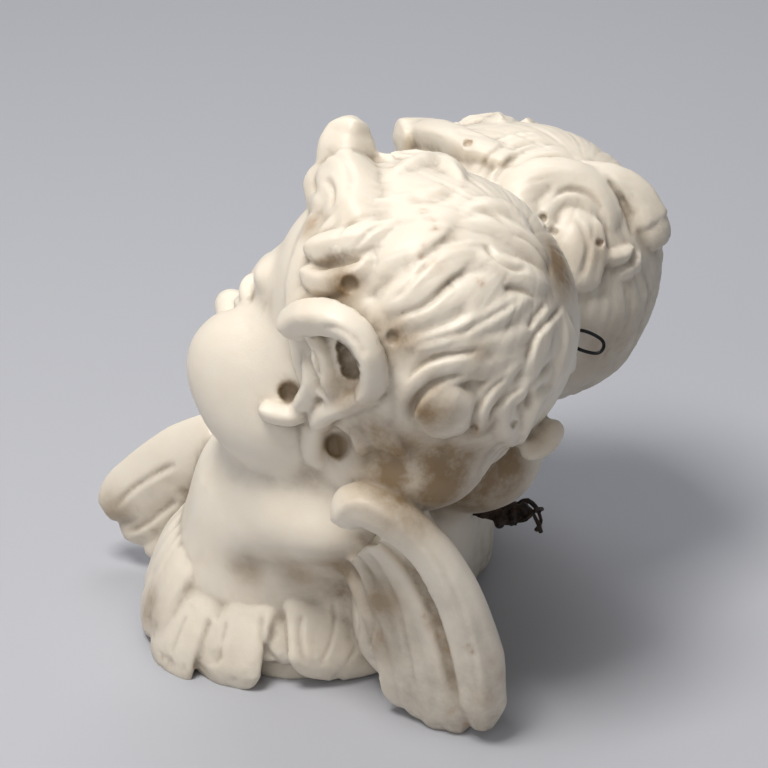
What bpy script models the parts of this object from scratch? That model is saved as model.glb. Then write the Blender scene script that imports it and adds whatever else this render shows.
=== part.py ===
# Two winged cherub heads carved from one block of white marble, with the iron cramp and the wire
# loop that are fixed in its back.
# Shapes are made in millimetres, and every mesh is turned into metres at the end.
# The cherubs look towards -Y, their left sides are towards +X, and +Z is up.

import math

import bmesh
import bpy
import numpy as np
from mathutils import Euler, Matrix, Vector
from mathutils.bvhtree import BVHTree

MM = 0.001

# Fineness of the fused marble, and the number of triangles that it is thinned to.
SKIN_VOXEL = 2.4
CARVING_VOXEL = 1.6
CURL_SIDES = 24
MARBLE_TRIANGLES = 8200
IRON_TRIANGLES = 720

# The back that meets the wall: the way it faces, and how far it lies from the layout's origin.
WALL_TILT = 25
WALL_OFFSET = 39

# The wire loop and the hole that its ends are pushed into.
WIRE_WIDTH = 1.5
WIRE_HOLE = 6
WIRE_AT = (-86, 146)
WIRE_AHEAD = (0.02, 1, -0.42)
LOOP_LENGTH = 19
LOOP_WIDTH = 8

# The iron cramp: a bar let into a socket in the back, with wires twisted round its end.
BAR_SIZE = (9, 7)
BAR_START = (-90, 14, 64)
BAR_END = (-87, 48, 56)
BINDING_WIRE = 2.2
# Crusts of rust on its end: along the bar, across, up, radius.
RUST_LUMPS = ((-8, 4, -3, 3.4), (-3, 5, 2, 3.0), (1, 1, 4, 3.4), (3, -3, 0, 3.0), (-1, -4, -2, 3.2), (5, 3, -3, 2.4))
POCKET_DEPTH = 11
POCKET_ROOM = 4
CLEARANCE = 0.35

# The show side is laid out on a square of 768 units, seen from 1.5 m away and 28 degrees up.
SHOW_UNITS = 3571.2
SHOW_MIDDLE = 384
SHOW_TARGET = (-65, -10.9, 132.4)
SHOW_DISTANCE = 1500
SHOW_RISE = 28

# A head is drawn 165 mm high from chin to crown, round its own middle.
# turn: the face turns away from +X. lean: the face looks up. tilt: the crown moves towards +X.
nearHead = {"centre": (-65, -6, 150), "turn": 36, "lean": 19, "tilt": 0, "scale": 1.0}
farHead = {"centre": (-158, 42, 126), "turn": 42, "lean": 2, "tilt": 0, "scale": 1.0}

# The forms of a head: place, half sizes, and how softly each runs into the ones before it.
headForms = [
    ("cranium", (0, 8, 20), (57, 61, 58), 0),
    ("forehead", (0, -22, 22), (46, 35, 40), 16),
    ("face", (0, -28, -22), (46, 38, 44), 16),
    ("cheek", (30, -47, -32), (23, 26, 25), 18),
    ("jowl", (25, -29, -47), (24, 26, 20), 16),
    ("chin", (0, -58, -61), (15, 14, 12), 10),
    ("double chin", (0, -34, -65), (32, 29, 13), 9),
    ("muzzle", (0, -63, -46), (19, 13, 15), 12),
    ("nose bridge", (0, -68, -13), (6, 9, 20), 10),
    ("nose tip", (0, -80, -27), (8, 8, 7), 6),
    ("nostril", (7.5, -74, -29), (5.5, 7, 5.5), 4),
    ("brow", (20, -51, 12), (19, 9, 7), 9),
]
eyeSocket = ((22, -73, -4), (15, 14, 9), 8)
eyeball = ((21, -55, -5), (12.5, 12, 11.5), 1.5)

# Breasts, the roots of the wings and the block behind: place, half sizes, softness.
bodyForms = [
    ("breast near", (-84, -46, 68), (35, 36, 26), 26),
    ("shoulder near", (-46, -28, 78), (25, 31, 20), 24),
    ("shoulder middle", (-122, -64, 60), (24, 26, 24), 16),
    ("core", (-98, -40, 24), (40, 50, 38), 14),
    ("skirt core", (-96, -48, 26), (42, 54, 26), 10),
    ("wing root near", (-34, 0, 44), (22, 24, 40), 14),
    ("breast far", (-152, -10, 62), (38, 40, 26), 16),
    ("core far", (-146, -8, 26), (42, 42, 42), 14),
    ("nape block", (-86, 26, 90), (34, 32, 26), 12),
    ("nape near", (-36, 2, 116), (32, 31, 22), 20),
    ("back block", (-106, 4, 50), (42, 27, 46), 12),
]
# Necks run from the head down to the breast: two ends, two radii, softness.
necks = [
    ("neck near", (-74, -30, 112), (-84, -48, 66), 37, 41, 20),
    ("neck far", (-158, 30, 96), (-150, -4, 66), 34, 34, 14),
]

# The skirts of breast feathers stand on rounded rectangles in plan. Their profile is a share of
# that plan for each height, and the body under the feathers takes up most of it.
nearSkirt = {
    "centre": (-94, -49), "half": (56, 66), "heights": (1, 7, 16, 35, 54, 80, 96),
    "shares": (1.0, 0.98, 0.93, 0.82, 0.71, 0.54, 0.36), "body": (0.8, 0.86, 0.88, 0.79, 0.68, 0.52, 0.3),
    "hidden": (78, 206, 6), "width": 40, "depth": 13,
}
farSkirt = {
    "centre": (-152, -16), "half": (52, 56), "heights": (1, 7, 16, 35, 54, 74, 90),
    "shares": (1.0, 0.99, 0.96, 0.84, 0.7, 0.54, 0.36), "body": (0.84, 0.92, 0.91, 0.81, 0.68, 0.52, 0.3),
    "hidden": (92, 232, 6), "width": 38, "depth": 13,
}
# Breast feathers of the show side: width, thickness, ridges, then the run in show units with lifts.
breastFeathers = [
    (34, 11, 1, [(212, 578, -5), (192, 604, -3), (178, 634, -1), (171, 660, 0), (171, 680, -2)]),
    (38, 11, 2, [(244, 572, -6), (234, 604, -3), (227, 636, -1), (224, 664, 0), (222, 687, -2)]),
    (31, 10, 1, [(284, 570, -6), (282, 602, -3), (283, 632, -1), (286, 664, -1)]),
    (48, 12, 2, [(338, 570, -6), (340, 602, -3), (341, 634, -1), (340, 660, 0), (338, 680, -4)]),
    (32, 10, 1, [(380, 578, -6), (382, 604, -4), (376, 636, -3), (366, 662, -5)]),
    (34, 10, 1, [(290, 620, -10), (290, 650, -9), (291, 687, -9)]),
]

# Hair starts as a cap over the bare head: how far it stands off, and over how many degrees it rises.
hairCap = {"height": 4.0, "edge": 11}
# How a lock is shaped: its width at the root and at the end, where its tip begins to round, how
# deep it sinks into the cap, how far it leans over its neighbour, and whether it faces the show side.
lockKinds = {
    "tuft": (1.0, 0.7, 0.66, 1.0, 0, True), "blunt": (0.9, 1.0, 0.95, 1.0, 0, True),
    "hook": (0.9, 0.3, 0.95, 1.0, 0, False), "ring": (0.8, 0.95, 0.86, 2.0, 0, False),
    "curl": (0.6, 0.8, 0.8, 2.5, 8, False), "strand": (0.5, 0.8, 0.7, 2.5, 12, False),
}

# Hair that is laid by hand on the show side: kind, width, height, ridges, then its run in show
# units, each with its lift in millimetres above the cap.
nearLocks = [
    # the thick tuft over the forehead, and the curl at its foot
    ("tuft", 29, 22, 1, [(366, 226, -8), (352, 198, -3), (347, 172, 0), (349, 144, 1), (355, 118, 1)]),
    ("ring", 14, 12, 1, [(350, 172, 1), (330, 172, 2), (317, 182, 2), (318, 198, 0), (330, 210, -2)]),
    ("strand", 16, 8, 2, [(392, 198, 0), (362, 208, 1), (336, 222, 1), (314, 238, 0)]),
    # the curl on the temple, in two layers
    ("curl", 15, 12, 1, [(394, 222, -1), (368, 234, 1), (340, 246, 4), (308, 252, 4)]),
    ("curl", 13, 10, 1, [(370, 258, 0), (352, 275, 2), (326, 281, 3), (302, 272, 3)]),
    # the great hook, and the column inside it
    ("hook", 18, 17, 1, [(299, 325, 5), (310, 318, 6), (326, 316, 8), (348, 320, 8), (366, 335, 7), (376, 357, 6),
                         (375, 381, 3), (362, 397, 1)]),
    ("ring", 9, 10, 1, [(316, 334, 3), (323, 352, 4), (329, 374, 3), (338, 397, 1)]),
    ("ring", 9, 9, 1, [(322, 391, 1), (344, 401, 2), (366, 395, 2), (382, 378, 0)]),
    # the hook on the cheek, and the ring curl on the jaw
    ("ring", 10, 12, 1, [(306, 360, -1), (313, 380, 2), (309, 398, 4), (295, 411, 5), (277, 411, 5), (261, 405, 4)]),
    ("ring", 11, 11, 1, [(376, 398, -1), (350, 403, 2), (326, 413, 4), (315, 432, 4), (316, 453, 4), (330, 468, 4),
                         (349, 469, 4), (363, 457, 4), (364, 440, 3), (352, 428, 1)]),
    # long strands from the crown to the ear
    ("strand", 24, 6, 1, [(452, 203, 0), (420, 226, 1), (394, 250, 1), (374, 280, 0)]),
    ("strand", 20, 7, 1, [(476, 238, 0), (446, 256, 1), (418, 280, 2), (396, 302, 2), (382, 313, 1)]),
    ("strand", 20, 7, 1, [(514, 264, 0), (480, 284, 1), (446, 304, 2), (414, 320, 2), (390, 328, 1)]),
    ("strand", 16, 8, 1, [(540, 292, 0), (504, 306, 1), (468, 322, 2), (434, 334, 2), (404, 348, 1)]),
    ("strand", 17, 7, 1, [(544, 324, 0), (506, 336, 1), (466, 343, 2), (430, 350, 1), (404, 370, 0)]),
    ("strand", 16, 8, 1, [(534, 348, 0), (496, 360, 1), (456, 364, 2), (426, 372, 2), (406, 394, 1), (402, 424, 0)]),
    # curls behind the ear
    ("curl", 12, 8, 1, [(536, 352, 0), (508, 372, 1), (488, 392, 2), (481, 420, 2), (478, 440, 0)]),
    ("curl", 13, 8, 1, [(548, 372, 0), (522, 386, 2), (505, 404, 2), (506, 428, 2), (514, 447, 1)]),
    ("curl", 10, 8, 1, [(552, 388, 0), (536, 400, 2), (527, 420, 2), (518, 446, 1)]),
    # the nape, one smooth swell
    ("strand", 28, 8, 1, [(366, 416, 0), (380, 446, 1), (406, 470, 1), (432, 486, 1)]),
    # down the back of the head
    ("strand", 17, 6, 1, [(548, 300, 0), (544, 324, 1), (534, 348, 1), (526, 380, 1), (527, 408, 0)]),
    ("strand", 16, 7, 2, [(562, 306, 0), (566, 340, 1), (558, 372, 1), (548, 404, 0)]),
    # the leaf-shaped lock, in two leaves
    ("curl", 15, 8, 1, [(456, 222, -1), (494, 226, 1), (528, 244, 2), (550, 272, 0)]),
    ("curl", 14, 8, 1, [(470, 247, -1), (500, 266, 1), (530, 279, 2), (552, 290, 0)]),
    # the crown
    ("curl", 12, 9, 1, [(384, 180, -2), (404, 168, 1), (426, 163, 3), (448, 167, 3), (464, 182, 0)]),
    ("curl", 14, 7, 1, [(462, 212, 0), (490, 208, 2), (514, 216, 2), (530, 238, 0)]),
]
farLocks = [
    # the thick blunt lock over the forehead
    ("blunt", 17, 21, 1, [(508, 160, -4), (474, 150, -1), (440, 140, 1), (396, 138, 1)]),
    ("strand", 15, 7, 2, [(470, 186, 0), (490, 160, 1), (520, 141, 1), (562, 138, 0)]),
    ("strand", 15, 7, 2, [(488, 202, 0), (506, 176, 1), (534, 156, 1), (582, 152, 0)]),
    # the great swirl at the side, ring within ring, and the lock that falls from it
    ("curl", 21, 10, 1, [(562, 244, -2), (534, 228, 1), (522, 204, 2), (530, 184, 3), (553, 177, 3), (580, 182, 3),
                         (602, 202, 2), (614, 234, 0)]),
    ("curl", 14, 7, 1, [(554, 236, 0), (547, 218, 2), (553, 203, 2), (568, 197, 2), (586, 201, 2), (596, 222, 0)]),
    ("curl", 27, 11, 1, [(566, 208, -1), (574, 230, 2), (578, 254, 3), (570, 292, 1)]),
    # the broken tuft at the back
    ("blunt", 19, 18, 1, [(588, 172, -5), (614, 184, -1), (632, 202, 2), (645, 228, 3)]),
    ("curl", 8, 8, 1, [(592, 230, 0), (591, 248, 2), (603, 257, 3), (620, 256, 3), (632, 246, 2)]),
    ("curl", 8, 7, 1, [(640, 254, 1), (633, 268, 2), (618, 276, 1)]),
    # low strands down the back
    ("strand", 18, 6, 2, [(630, 262, 0), (636, 296, 1), (628, 330, 1), (606, 362, 0)]),
    ("strand", 18, 6, 2, [(612, 284, 0), (614, 312, 1), (600, 342, 1), (584, 366, 0)]),
    ("strand", 18, 6, 2, [(592, 290, 0), (592, 316, 1), (580, 342, 0)]),
]
# Rounded ends of curls and other lumps: half sizes, then place in show units and lift.
nearLumps = [((13, 14, 7), (446, 412, -1)), ((9, 11, 7), (545, 442, -1.5))]
farLumps = [((9, 10, 8), (648, 230, 2))]

# Where the locks of hair stop: longitude from the face, and the lowest latitude there.
hairline = ([0, 34, 50, 64, 78, 95, 180], [44, 40, 27, 6, -20, -34, -40])

# Broad hollows of the show side: width and depth in millimetres, then their run.
hollows = [
    (8.0, 2.0, [(216, 586), (240, 570), (272, 566), (310, 568), (346, 568), (374, 580), (388, 606)]),
    (4.0, 1.6, [(416, 258), (394, 272), (374, 292), (366, 306)]),
    (3.0, 2.2, [(340, 536), (362, 538), (384, 545), (404, 562), (424, 596), (440, 640), (452, 690), (458, 722)]),
    (3.0, 1.6, [(476, 302), (446, 322), (418, 332), (394, 338)]),
]
# Holes left by the drill: place in show units, radius and depth in millimetres.
drillHoles = [(345, 347, 3.6, 9), (349, 357, 4.6, 10), (351, 369, 4.0, 9), (337, 446, 5.0, 7), (289, 392, 4.2, 6)]


def headMatrix(head):
    turned = Euler((math.radians(-head["lean"]), 0, 0)).to_matrix()
    turned @= Euler((0, math.radians(head["tilt"]), 0)).to_matrix()
    turned @= Euler((0, 0, math.radians(-head["turn"]))).to_matrix()
    placed = Matrix.Translation(Vector(head["centre"])) @ turned.to_4x4()
    return placed @ Matrix.Scale(head["scale"], 4)


def asArray(matrix):
    return np.array(matrix, float)


def moved(points, matrix):
    m = asArray(matrix)
    return points @ m[:3, :3].T + m[:3, 3]


def showDirection():
    rise = math.radians(SHOW_RISE)
    return np.array([math.cos(rise), 0, math.sin(rise)])


def sight(x, y):
    # The line of sight through a point of the show square: its eye and its direction.
    towards = showDirection()
    up = np.array([-towards[2], 0, towards[0]])
    eye = np.array(SHOW_TARGET) + towards * SHOW_DISTANCE
    along = np.array([0, 1, 0]) * (x - SHOW_MIDDLE) + up * (SHOW_MIDDLE - y) - towards * SHOW_UNITS
    return eye, along / np.linalg.norm(along)


def seenAt(x, y, depth):
    # The point with this X that the show side has at x, y.
    eye, along = sight(x, y)
    return eye + along * (depth - eye[0]) / along[0]


class Clay:
    # Closed shapes that overlap, to be fused into one skin.
    def __init__(self):
        self.points = []
        self.faces = []
        self.count = 0

    def add(self, points, faces):
        self.points.append(np.asarray(points, float))
        self.faces.extend((np.asarray(f) + self.count).tolist() for f in faces)
        self.count += len(points)

    def addBall(self, centre, radii, matrix=None):
        points = ball[0] * np.array(radii) + np.array(centre)
        self.add(points if matrix is None else moved(points, matrix), ball[1])

    def addMesh(self, mesh):
        self.add(pointsOf(mesh), [list(p.vertices) for p in mesh.polygons])

    def mesh(self, name):
        made = bpy.data.meshes.new(name)
        made.from_pydata(np.concatenate(self.points).tolist(), [], self.faces)
        made.update()
        return made


def unitBall():
    bm = bmesh.new()
    bmesh.ops.create_icosphere(bm, subdivisions=4, radius=1)
    points = np.array([v.co[:] for v in bm.verts])
    faces = [[v.index for v in f.verts] for f in bm.faces]
    bm.free()
    return points, faces


ball = unitBall()


# Blended forms. Each is a signed distance, and each runs softly into what came before it.


def ellipsoidDistance(points, centre, radii):
    p = points - np.array(centre, float)
    r = np.array(radii, float)
    k0 = np.linalg.norm(p / r, axis=1)
    k1 = np.linalg.norm(p / (r * r), axis=1) + 1e-9
    return k0 * (k0 - 1) / k1


def coneDistance(points, start, end, startRadius, endRadius):
    a, b = np.array(start, float), np.array(end, float)
    along = np.clip((points - a) @ (b - a) / ((b - a) @ (b - a)), 0, 1)
    nearest = a + along[:, None] * (b - a)
    return np.linalg.norm(points - nearest, axis=1) - (startRadius + along * (endRadius - startRadius))


def blended(a, b, softness):
    if softness <= 0:
        return np.minimum(a, b)
    h = np.clip(0.5 + 0.5 * (a - b) / softness, 0, 1)
    return a + (b - a) * h - softness * h * (1 - h)


def hollowed(a, b, softness):
    return -blended(-a, b, softness)


def capHeight(points):
    # How far the cap of hair stands off the bare head, for points of the head's own space.
    lon = np.degrees(np.arctan2(np.abs(points[:, 0]), -points[:, 1]))
    lat = np.degrees(np.arcsin(np.clip(points[:, 2] / (np.linalg.norm(points, axis=1) + 1e-9), -1, 1)))
    rise = np.clip((lat - np.interp(lon, *hairline)) / hairCap["edge"], 0, 1)
    return hairCap["height"] * rise * rise * (3 - 2 * rise)


def mirroredForms(forms):
    for name, centre, radii, softness in forms:
        yield name, centre, radii, softness
        if centre[0]:
            yield name, (-centre[0], centre[1], centre[2]), radii, softness


def headDistance(points, withEyes=True):
    distance = None
    for _, centre, radii, softness in mirroredForms(headForms):
        d = ellipsoidDistance(points, centre, radii)
        distance = d if distance is None else blended(distance, d, softness)
    if withEyes:
        for side in (1, -1):
            centre, radii, softness = eyeSocket
            socket = ellipsoidDistance(points, (centre[0] * side, *centre[1:]), radii)
            distance = hollowed(distance, socket, softness)
        for side in (1, -1):
            centre, radii, softness = eyeball
            eye = ellipsoidDistance(points, (centre[0] * side, *centre[1:]), radii)
            distance = blended(distance, eye, softness)
    return distance


def bodyDistance(points):
    distance = None
    for _, centre, radii, softness in bodyForms:
        d = ellipsoidDistance(points, centre, radii)
        distance = d if distance is None else blended(distance, d, softness)
    for _, start, end, startRadius, endRadius, softness in necks:
        d = coneDistance(points, start, end, startRadius, endRadius)
        distance = blended(distance, d, softness)
    return distance


def skinDistance(points):
    distance = bodyDistance(points)
    for skirt in (nearSkirt, farSkirt):
        distance = blended(distance, skirtBody(points, skirt), 22)
    for head in (nearHead, farHead):
        local = moved(points, headMatrix(head).inverted())
        distance = blended(distance, (headDistance(local) - capHeight(local)) * head["scale"], 9)
    return distance


def skirtBody(points, skirt):
    side = (skirtDepth(skirt, points, "body") - 1) * min(skirt["half"]) * 0.8
    return np.maximum(side, points[:, 2] - skirt["heights"][-1])


def addHeadForms(clay, matrix):
    for _, centre, radii, _ in mirroredForms(headForms):
        clay.addBall(centre, radii, matrix)


def addBodyForms(clay):
    for _, centre, radii, _ in bodyForms:
        clay.addBall(centre, radii)
    for skirt in (nearSkirt, farSkirt):
        addSkirtBody(clay, skirt)
    for _, start, end, startRadius, endRadius, _ in necks:
        for along in np.linspace(0, 1, 6):
            radius = startRadius + (endRadius - startRadius) * along
            clay.addBall(np.array(start) * (1 - along) + np.array(end) * along, (radius, radius, radius))


def addSkirtBody(clay, skirt, sides=48):
    heights = (-6, *skirt["heights"][1:])
    rings = len(heights)
    points = [
        (*planPoint(skirt, 360 * i / sides, share), z)
        for z, share in zip(heights, skirt["body"]) for i in range(sides)
    ]
    faces = [list(range(sides)), [(rings - 1) * sides + i for i in range(sides - 1, -1, -1)]]
    for k in range(rings - 1):
        for i in range(sides):
            j = (i + 1) % sides
            faces.append([k * sides + j, k * sides + i, (k + 1) * sides + i, (k + 1) * sides + j])
    clay.add(points, faces)


def throughModifiers(mesh, *steps):
    # The mesh as Blender's modifiers leave it. Each step is a modifier type and its settings.
    obj = bpy.data.objects.new("clay", mesh)
    bpy.context.scene.collection.objects.link(obj)
    for kind, settings in steps:
        modifier = obj.modifiers.new(kind, kind)
        for name, value in settings.items():
            setattr(modifier, name, value)
    graph = bpy.context.evaluated_depsgraph_get()
    graph.update()
    made = bpy.data.meshes.new_from_object(obj.evaluated_get(graph))
    bpy.data.objects.remove(obj)
    bpy.data.meshes.remove(mesh)
    return made


def fused(mesh, voxel, smoothing=0):
    steps = [("REMESH", {"mode": "VOXEL", "voxel_size": voxel, "adaptivity": 0})]
    if smoothing:
        steps.append(("SMOOTH", {"factor": 0.5, "iterations": smoothing}))
    return throughModifiers(mesh, *steps)


def pointsOf(mesh):
    points = np.empty(len(mesh.vertices) * 3, np.float32)
    mesh.vertices.foreach_get("co", points)
    return points.reshape(-1, 3).astype(float)


def normalsOf(mesh):
    normals = np.empty(len(mesh.vertices) * 3, np.float32)
    mesh.vertex_normals.foreach_get("vector", normals)
    return normals.reshape(-1, 3).astype(float)


def setPoints(mesh, points):
    mesh.vertices.foreach_set("co", points.astype(np.float32).ravel())
    mesh.update()


def drawnTo(mesh, distance, rounds=4):
    # Slides every vertex along its normal on to the surface where the distance is nought.
    for _ in range(rounds):
        points = pointsOf(mesh)
        step = np.clip(distance(points), -4, 4)
        setPoints(mesh, points - normalsOf(mesh) * step[:, None])
    return mesh


# Swept shapes: locks, curls, feathers and wires.


def curveThrough(points, count):
    # A smooth curve through the points, evenly spaced along its length.
    p = np.asarray(points, float)
    p = np.concatenate([[2 * p[0] - p[1]], p, [2 * p[-1] - p[-2]]])
    fine = []
    for i in range(1, len(p) - 2):
        for t in np.linspace(0, 1, 20, endpoint=False):
            a, b, c, d = p[i - 1], p[i], p[i + 1], p[i + 2]
            bend = (2 * a - 5 * b + 4 * c - d) * t * t + (3 * b - a - 3 * c + d) * t ** 3
            fine.append(0.5 * (2 * b + (c - a) * t + bend))
    fine.append(p[-2])
    fine = np.array(fine)
    length = np.concatenate([[0], np.cumsum(np.linalg.norm(np.diff(fine, axis=0), axis=1))])
    spaced = np.linspace(0, length[-1], count)
    return np.stack([np.interp(spaced, length, fine[:, k]) for k in range(fine.shape[1])], axis=1)


def unit(vectors):
    v = np.asarray(vectors, float)
    return v / (np.linalg.norm(v, axis=-1, keepdims=True) + 1e-12)


def swept(path, normals, widths, heights, ridges=0, ridgeDepth=0.0, sides=24, drift=0.0):
    # A closed bar along the path, wide across it and raised along the normals, with ridges on top.
    path = np.asarray(path, float)
    tangents = unit(np.gradient(path, axis=0))
    across = unit(np.cross(tangents, normals))
    out = unit(np.cross(across, tangents))
    angles = np.linspace(0, 2 * math.pi, sides, endpoint=False)
    side, rise = np.cos(angles), np.sin(angles)
    rise = np.repeat(np.where(rise < 0, rise * 0.7, rise)[None, :], len(path), axis=0)
    if ridges:
        wander = drift * np.sin(np.linspace(0, 4.5, len(path)) + 9 * drift)
        wave = np.cos(math.pi * ridges * (side[None, :] + wander[:, None]))
        rise = np.where(rise > 0, rise * (1 - ridgeDepth * (0.5 - 0.5 * wave)), rise)
    widths = np.broadcast_to(widths, len(path))
    heights = np.broadcast_to(heights, len(path))
    rings = (
        path[:, None, :]
        + across[:, None, :] * side[None, :, None] * (widths / 2)[:, None, None]
        + out[:, None, :] * rise[:, :, None] * (heights / 2)[:, None, None]
    )
    count = len(path)
    points = rings.reshape(-1, 3)
    faces = []
    for i in range(count - 1):
        for j in range(sides):
            k = (j + 1) % sides
            faces.append([(i + 1) * sides + j, (i + 1) * sides + k, i * sides + k, i * sides + j])
    faces.append(list(range(sides)))
    faces.append([(count - 1) * sides + j for j in range(sides - 1, -1, -1)])
    return points, faces


def tapered(count, start=0.5, end=0.35, fullFrom=0.25, roundFrom=0.8):
    # Widths along a lock or a feather, from its root to its rounded tip, as shares of the full width.
    s = np.linspace(0, 1, count)
    root = start + (1 - start) * np.clip(s / fullFrom, 0, 1)
    fall = np.clip((s - roundFrom) / (1 - roundFrom), 0, 1)
    return root * np.maximum(np.sqrt(np.clip(1 - fall * fall, 0, 1)), 0.12) * (1 - (1 - end) * s * 0.6)


# The heads' hair.


class Scalp:
    # The bare head, on which hair is laid, by direction from its middle or as the show side has it.
    def __init__(self, head):
        self.matrix = headMatrix(head)
        self.scale = head["scale"]
        clay = Clay()
        addHeadForms(clay, Matrix.Identity(4))
        skin = drawnTo(fused(clay.mesh("scalp"), 3.5, 6),
                       lambda p: headDistance(p, withEyes=False) - capHeight(p))
        skin.transform(self.matrix)
        self.middle = np.array(head["centre"], float)
        self.turn = asArray(self.matrix)[:3, :3] / self.scale
        self.tree = BVHTree.FromPolygons(
            [v.co[:] for v in skin.vertices], [p.vertices[:] for p in skin.polygons]
        )
        bpy.data.meshes.remove(skin)

    def along(self, direction):
        # Where a line from the head's middle comes out, and the way that the surface faces there.
        d = self.turn @ direction
        hit, normal, _, _ = self.tree.ray_cast(Vector(self.middle + d * 300), Vector(-d))
        return np.array(hit), unit(np.array(normal) * 0.5 + d * 0.5)

    def shown(self, x, y):
        # The same for a point of the show square. Beside the head, it is level with the nearest scalp.
        eye, along = sight(x, y)
        hit, normal, _, _ = self.tree.ray_cast(Vector(eye), Vector(along))
        if hit is None:
            near = eye + along * ((self.middle - eye) @ along)
            for _ in range(3):
                beside, normal, _, _ = self.tree.find_nearest(Vector(near))
                near = eye + along * ((np.array(beside) - eye) @ along)
            return near, unit(np.array(normal))
        return np.array(hit), np.array(normal)

    def lay(self, found, lifts):
        points = np.array([p for p, _ in found])
        normals = unit(np.array([n for _, n in found]))
        return points + normals * np.asarray(lifts, float)[:, None] * self.scale, normals


def direction(longitude, latitude):
    lon, lat = np.radians(longitude), np.radians(latitude)
    return np.stack(
        [np.sin(lon) * np.cos(lat), -np.cos(lon) * np.cos(lat), np.sin(lat) + 0 * lon], axis=-1
    )


def onScalp(d, margin=0.0):
    lon = math.degrees(math.atan2(d[0], -d[1]))
    lat = math.degrees(math.asin(max(-1, min(1, d[2]))))
    return lat > np.interp(abs(lon), *hairline) + margin


def turnedAbout(v, axis, angle):
    along = axis * (axis @ v) * (1 - math.cos(angle))
    return v * math.cos(angle) + np.cross(axis, v) * math.sin(angle) + along


def lockRun(start, whorl, length, wave, phase, hook, sweep):
    # Walks over the scalp away from the whorl, in waves, and hooks round at the end.
    stride = 2.2
    count = max(8, int(length / stride))
    d = unit(np.array(start, float))
    walked = [d]
    for i in range(count):
        away = unit(-(np.array(whorl) - (np.array(whorl) @ d) * d))
        bend = sweep + wave * math.sin(phase + 2 * math.pi * i * stride / 46)
        bend += hook * max(0.0, (i / count - 0.5) / 0.5) ** 2
        d = unit(d + turnedAbout(away, d, bend) * stride / 66)
        walked.append(d)
    return np.array(walked)


def addLock(clay, scalp, found, lifts, width, height, ridges, depth=0.45, start=0.5, end=0.55, tip=0.8, lean=0.0):
    path, normals = scalp.lay(found, lifts)
    across = unit(np.cross(np.gradient(path, axis=0), normals))
    normals = unit(normals + across * math.tan(math.radians(lean)))
    shape = tapered(len(path), start, end, 0.3, tip)
    clay.add(*swept(path, normals, width * scalp.scale * shape, height * scalp.scale * np.sqrt(shape), ridges, depth,
                    CURL_SIDES, 0.12 * math.sin(width + 3 * len(path))))


def addShownHair(clay, scalp, locks, lumps):
    for kind, width, height, ridges, run in locks:
        run = curveThrough(run, 12 + 5 * len(run))
        start, end, tip, sink, lean, toShow = lockKinds[kind]
        found = [scalp.shown(x, y) for x, y, _ in run]
        if toShow:
            found = [(point + normal * lift, showDirection()) for (point, normal), lift in zip(found, run[:, 2])]
            run[:, 2] = 0
        addLock(clay, scalp, found, run[:, 2] - sink, width, height, ridges, 0.3, start, end, tip, lean)
    for radii, (x, y, lift) in lumps:
        point, normal = scalp.shown(x, y)
        turned = Vector(normal).to_track_quat("Z", "Y").to_matrix().to_4x4()
        clay.addBall((0, 0, lift), np.array(radii) * scalp.scale, Matrix.Translation(Vector(point)) @ turned)


def addFlowingHair(clay, scalp, whorlAt, seed, spacing, shownTo):
    # Plainer locks on the sides that the show view leaves out, from the crown to the hairline.
    draw = np.random.default_rng(seed)
    whorl = direction(*whorlAt)
    shown = scalp.turn.T @ showDirection()
    total = int(4 * math.pi * 66 * 66 / (spacing * spacing))
    golden = math.pi * (3 - math.sqrt(5))
    for i in range(total):
        z = 1 - 2 * (i + 0.5) / total
        r = math.sqrt(1 - z * z)
        d = np.array([math.cos(golden * i) * r, math.sin(golden * i) * r, z])
        wave, phase = draw.uniform(0.2, 0.5), draw.uniform(0, 2 * math.pi)
        hook, sweep = draw.choice([-1, 1]) * draw.uniform(0.6, 2.2), draw.uniform(-0.3, 0.3)
        length, width = draw.uniform(44, 60), draw.uniform(15, 20)
        lift = draw.uniform(-1.6, 0.6)
        if not onScalp(d, 4) or d @ shown > shownTo:
            continue
        walked = lockRun(d, whorl, length, wave, phase, hook, sweep)
        inside = [k for k, w in enumerate(walked) if onScalp(w, -4)]
        walked = walked[: max(inside) + 1]
        if len(walked) >= 8:
            s = np.linspace(0, 1, len(walked))
            lifts = lift - 2 * (1 - np.clip(s / 0.2, 0, 1)) + 2.5 * np.clip((s - 0.6) / 0.4, 0, 1) ** 2
            found = [scalp.along(w) for w in walked]
            addLock(clay, scalp, found, lifts, width, 12, 2, 0.4, 0.4, 0.55, 0.75)


def addFringe(clay, scalp, longitudes):
    # Rows of short curls above the forehead and the temple that the show view leaves out.
    shown = scalp.turn.T @ showDirection()
    t = np.linspace(0, 1, 16)
    bend = np.clip((t - 0.4) / 0.6, 0, 1) ** 2
    for row, rise in enumerate((36, 18, 0)):
        for i, lon in enumerate(longitudes):
            lon = lon + 8 * (row % 2)
            low = np.interp(abs(lon), *hairline) + rise
            side = 1 if (i + row) % 2 else -1
            lat = low + 20 - 25 * t + 6 * bend
            d = direction(lon + side * (30 * bend - 8 * t), lat)
            if low > 62 or d.mean(axis=0) @ shown > 0.12:
                continue
            found = [scalp.along(w) for w in d]
            addLock(clay, scalp, found, -2.2 + 2.6 * t, 15, 13, 2, 0.35, 0.6, 0.95, 0.7)


# Feathers and wings.


def addFeather(clay, run, facing, width, thickness, ridges=3, depth=0.25, start=0.7, end=0.9,
               tip=0.72, count=26):
    path = curveThrough(run, count)
    normals = np.broadcast_to(np.array(facing, float), path.shape)
    shape = tapered(count, start, end, 0.3, tip)
    clay.add(*swept(path, normals, width * shape, thickness * np.sqrt(shape), ridges, depth, 32))


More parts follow.
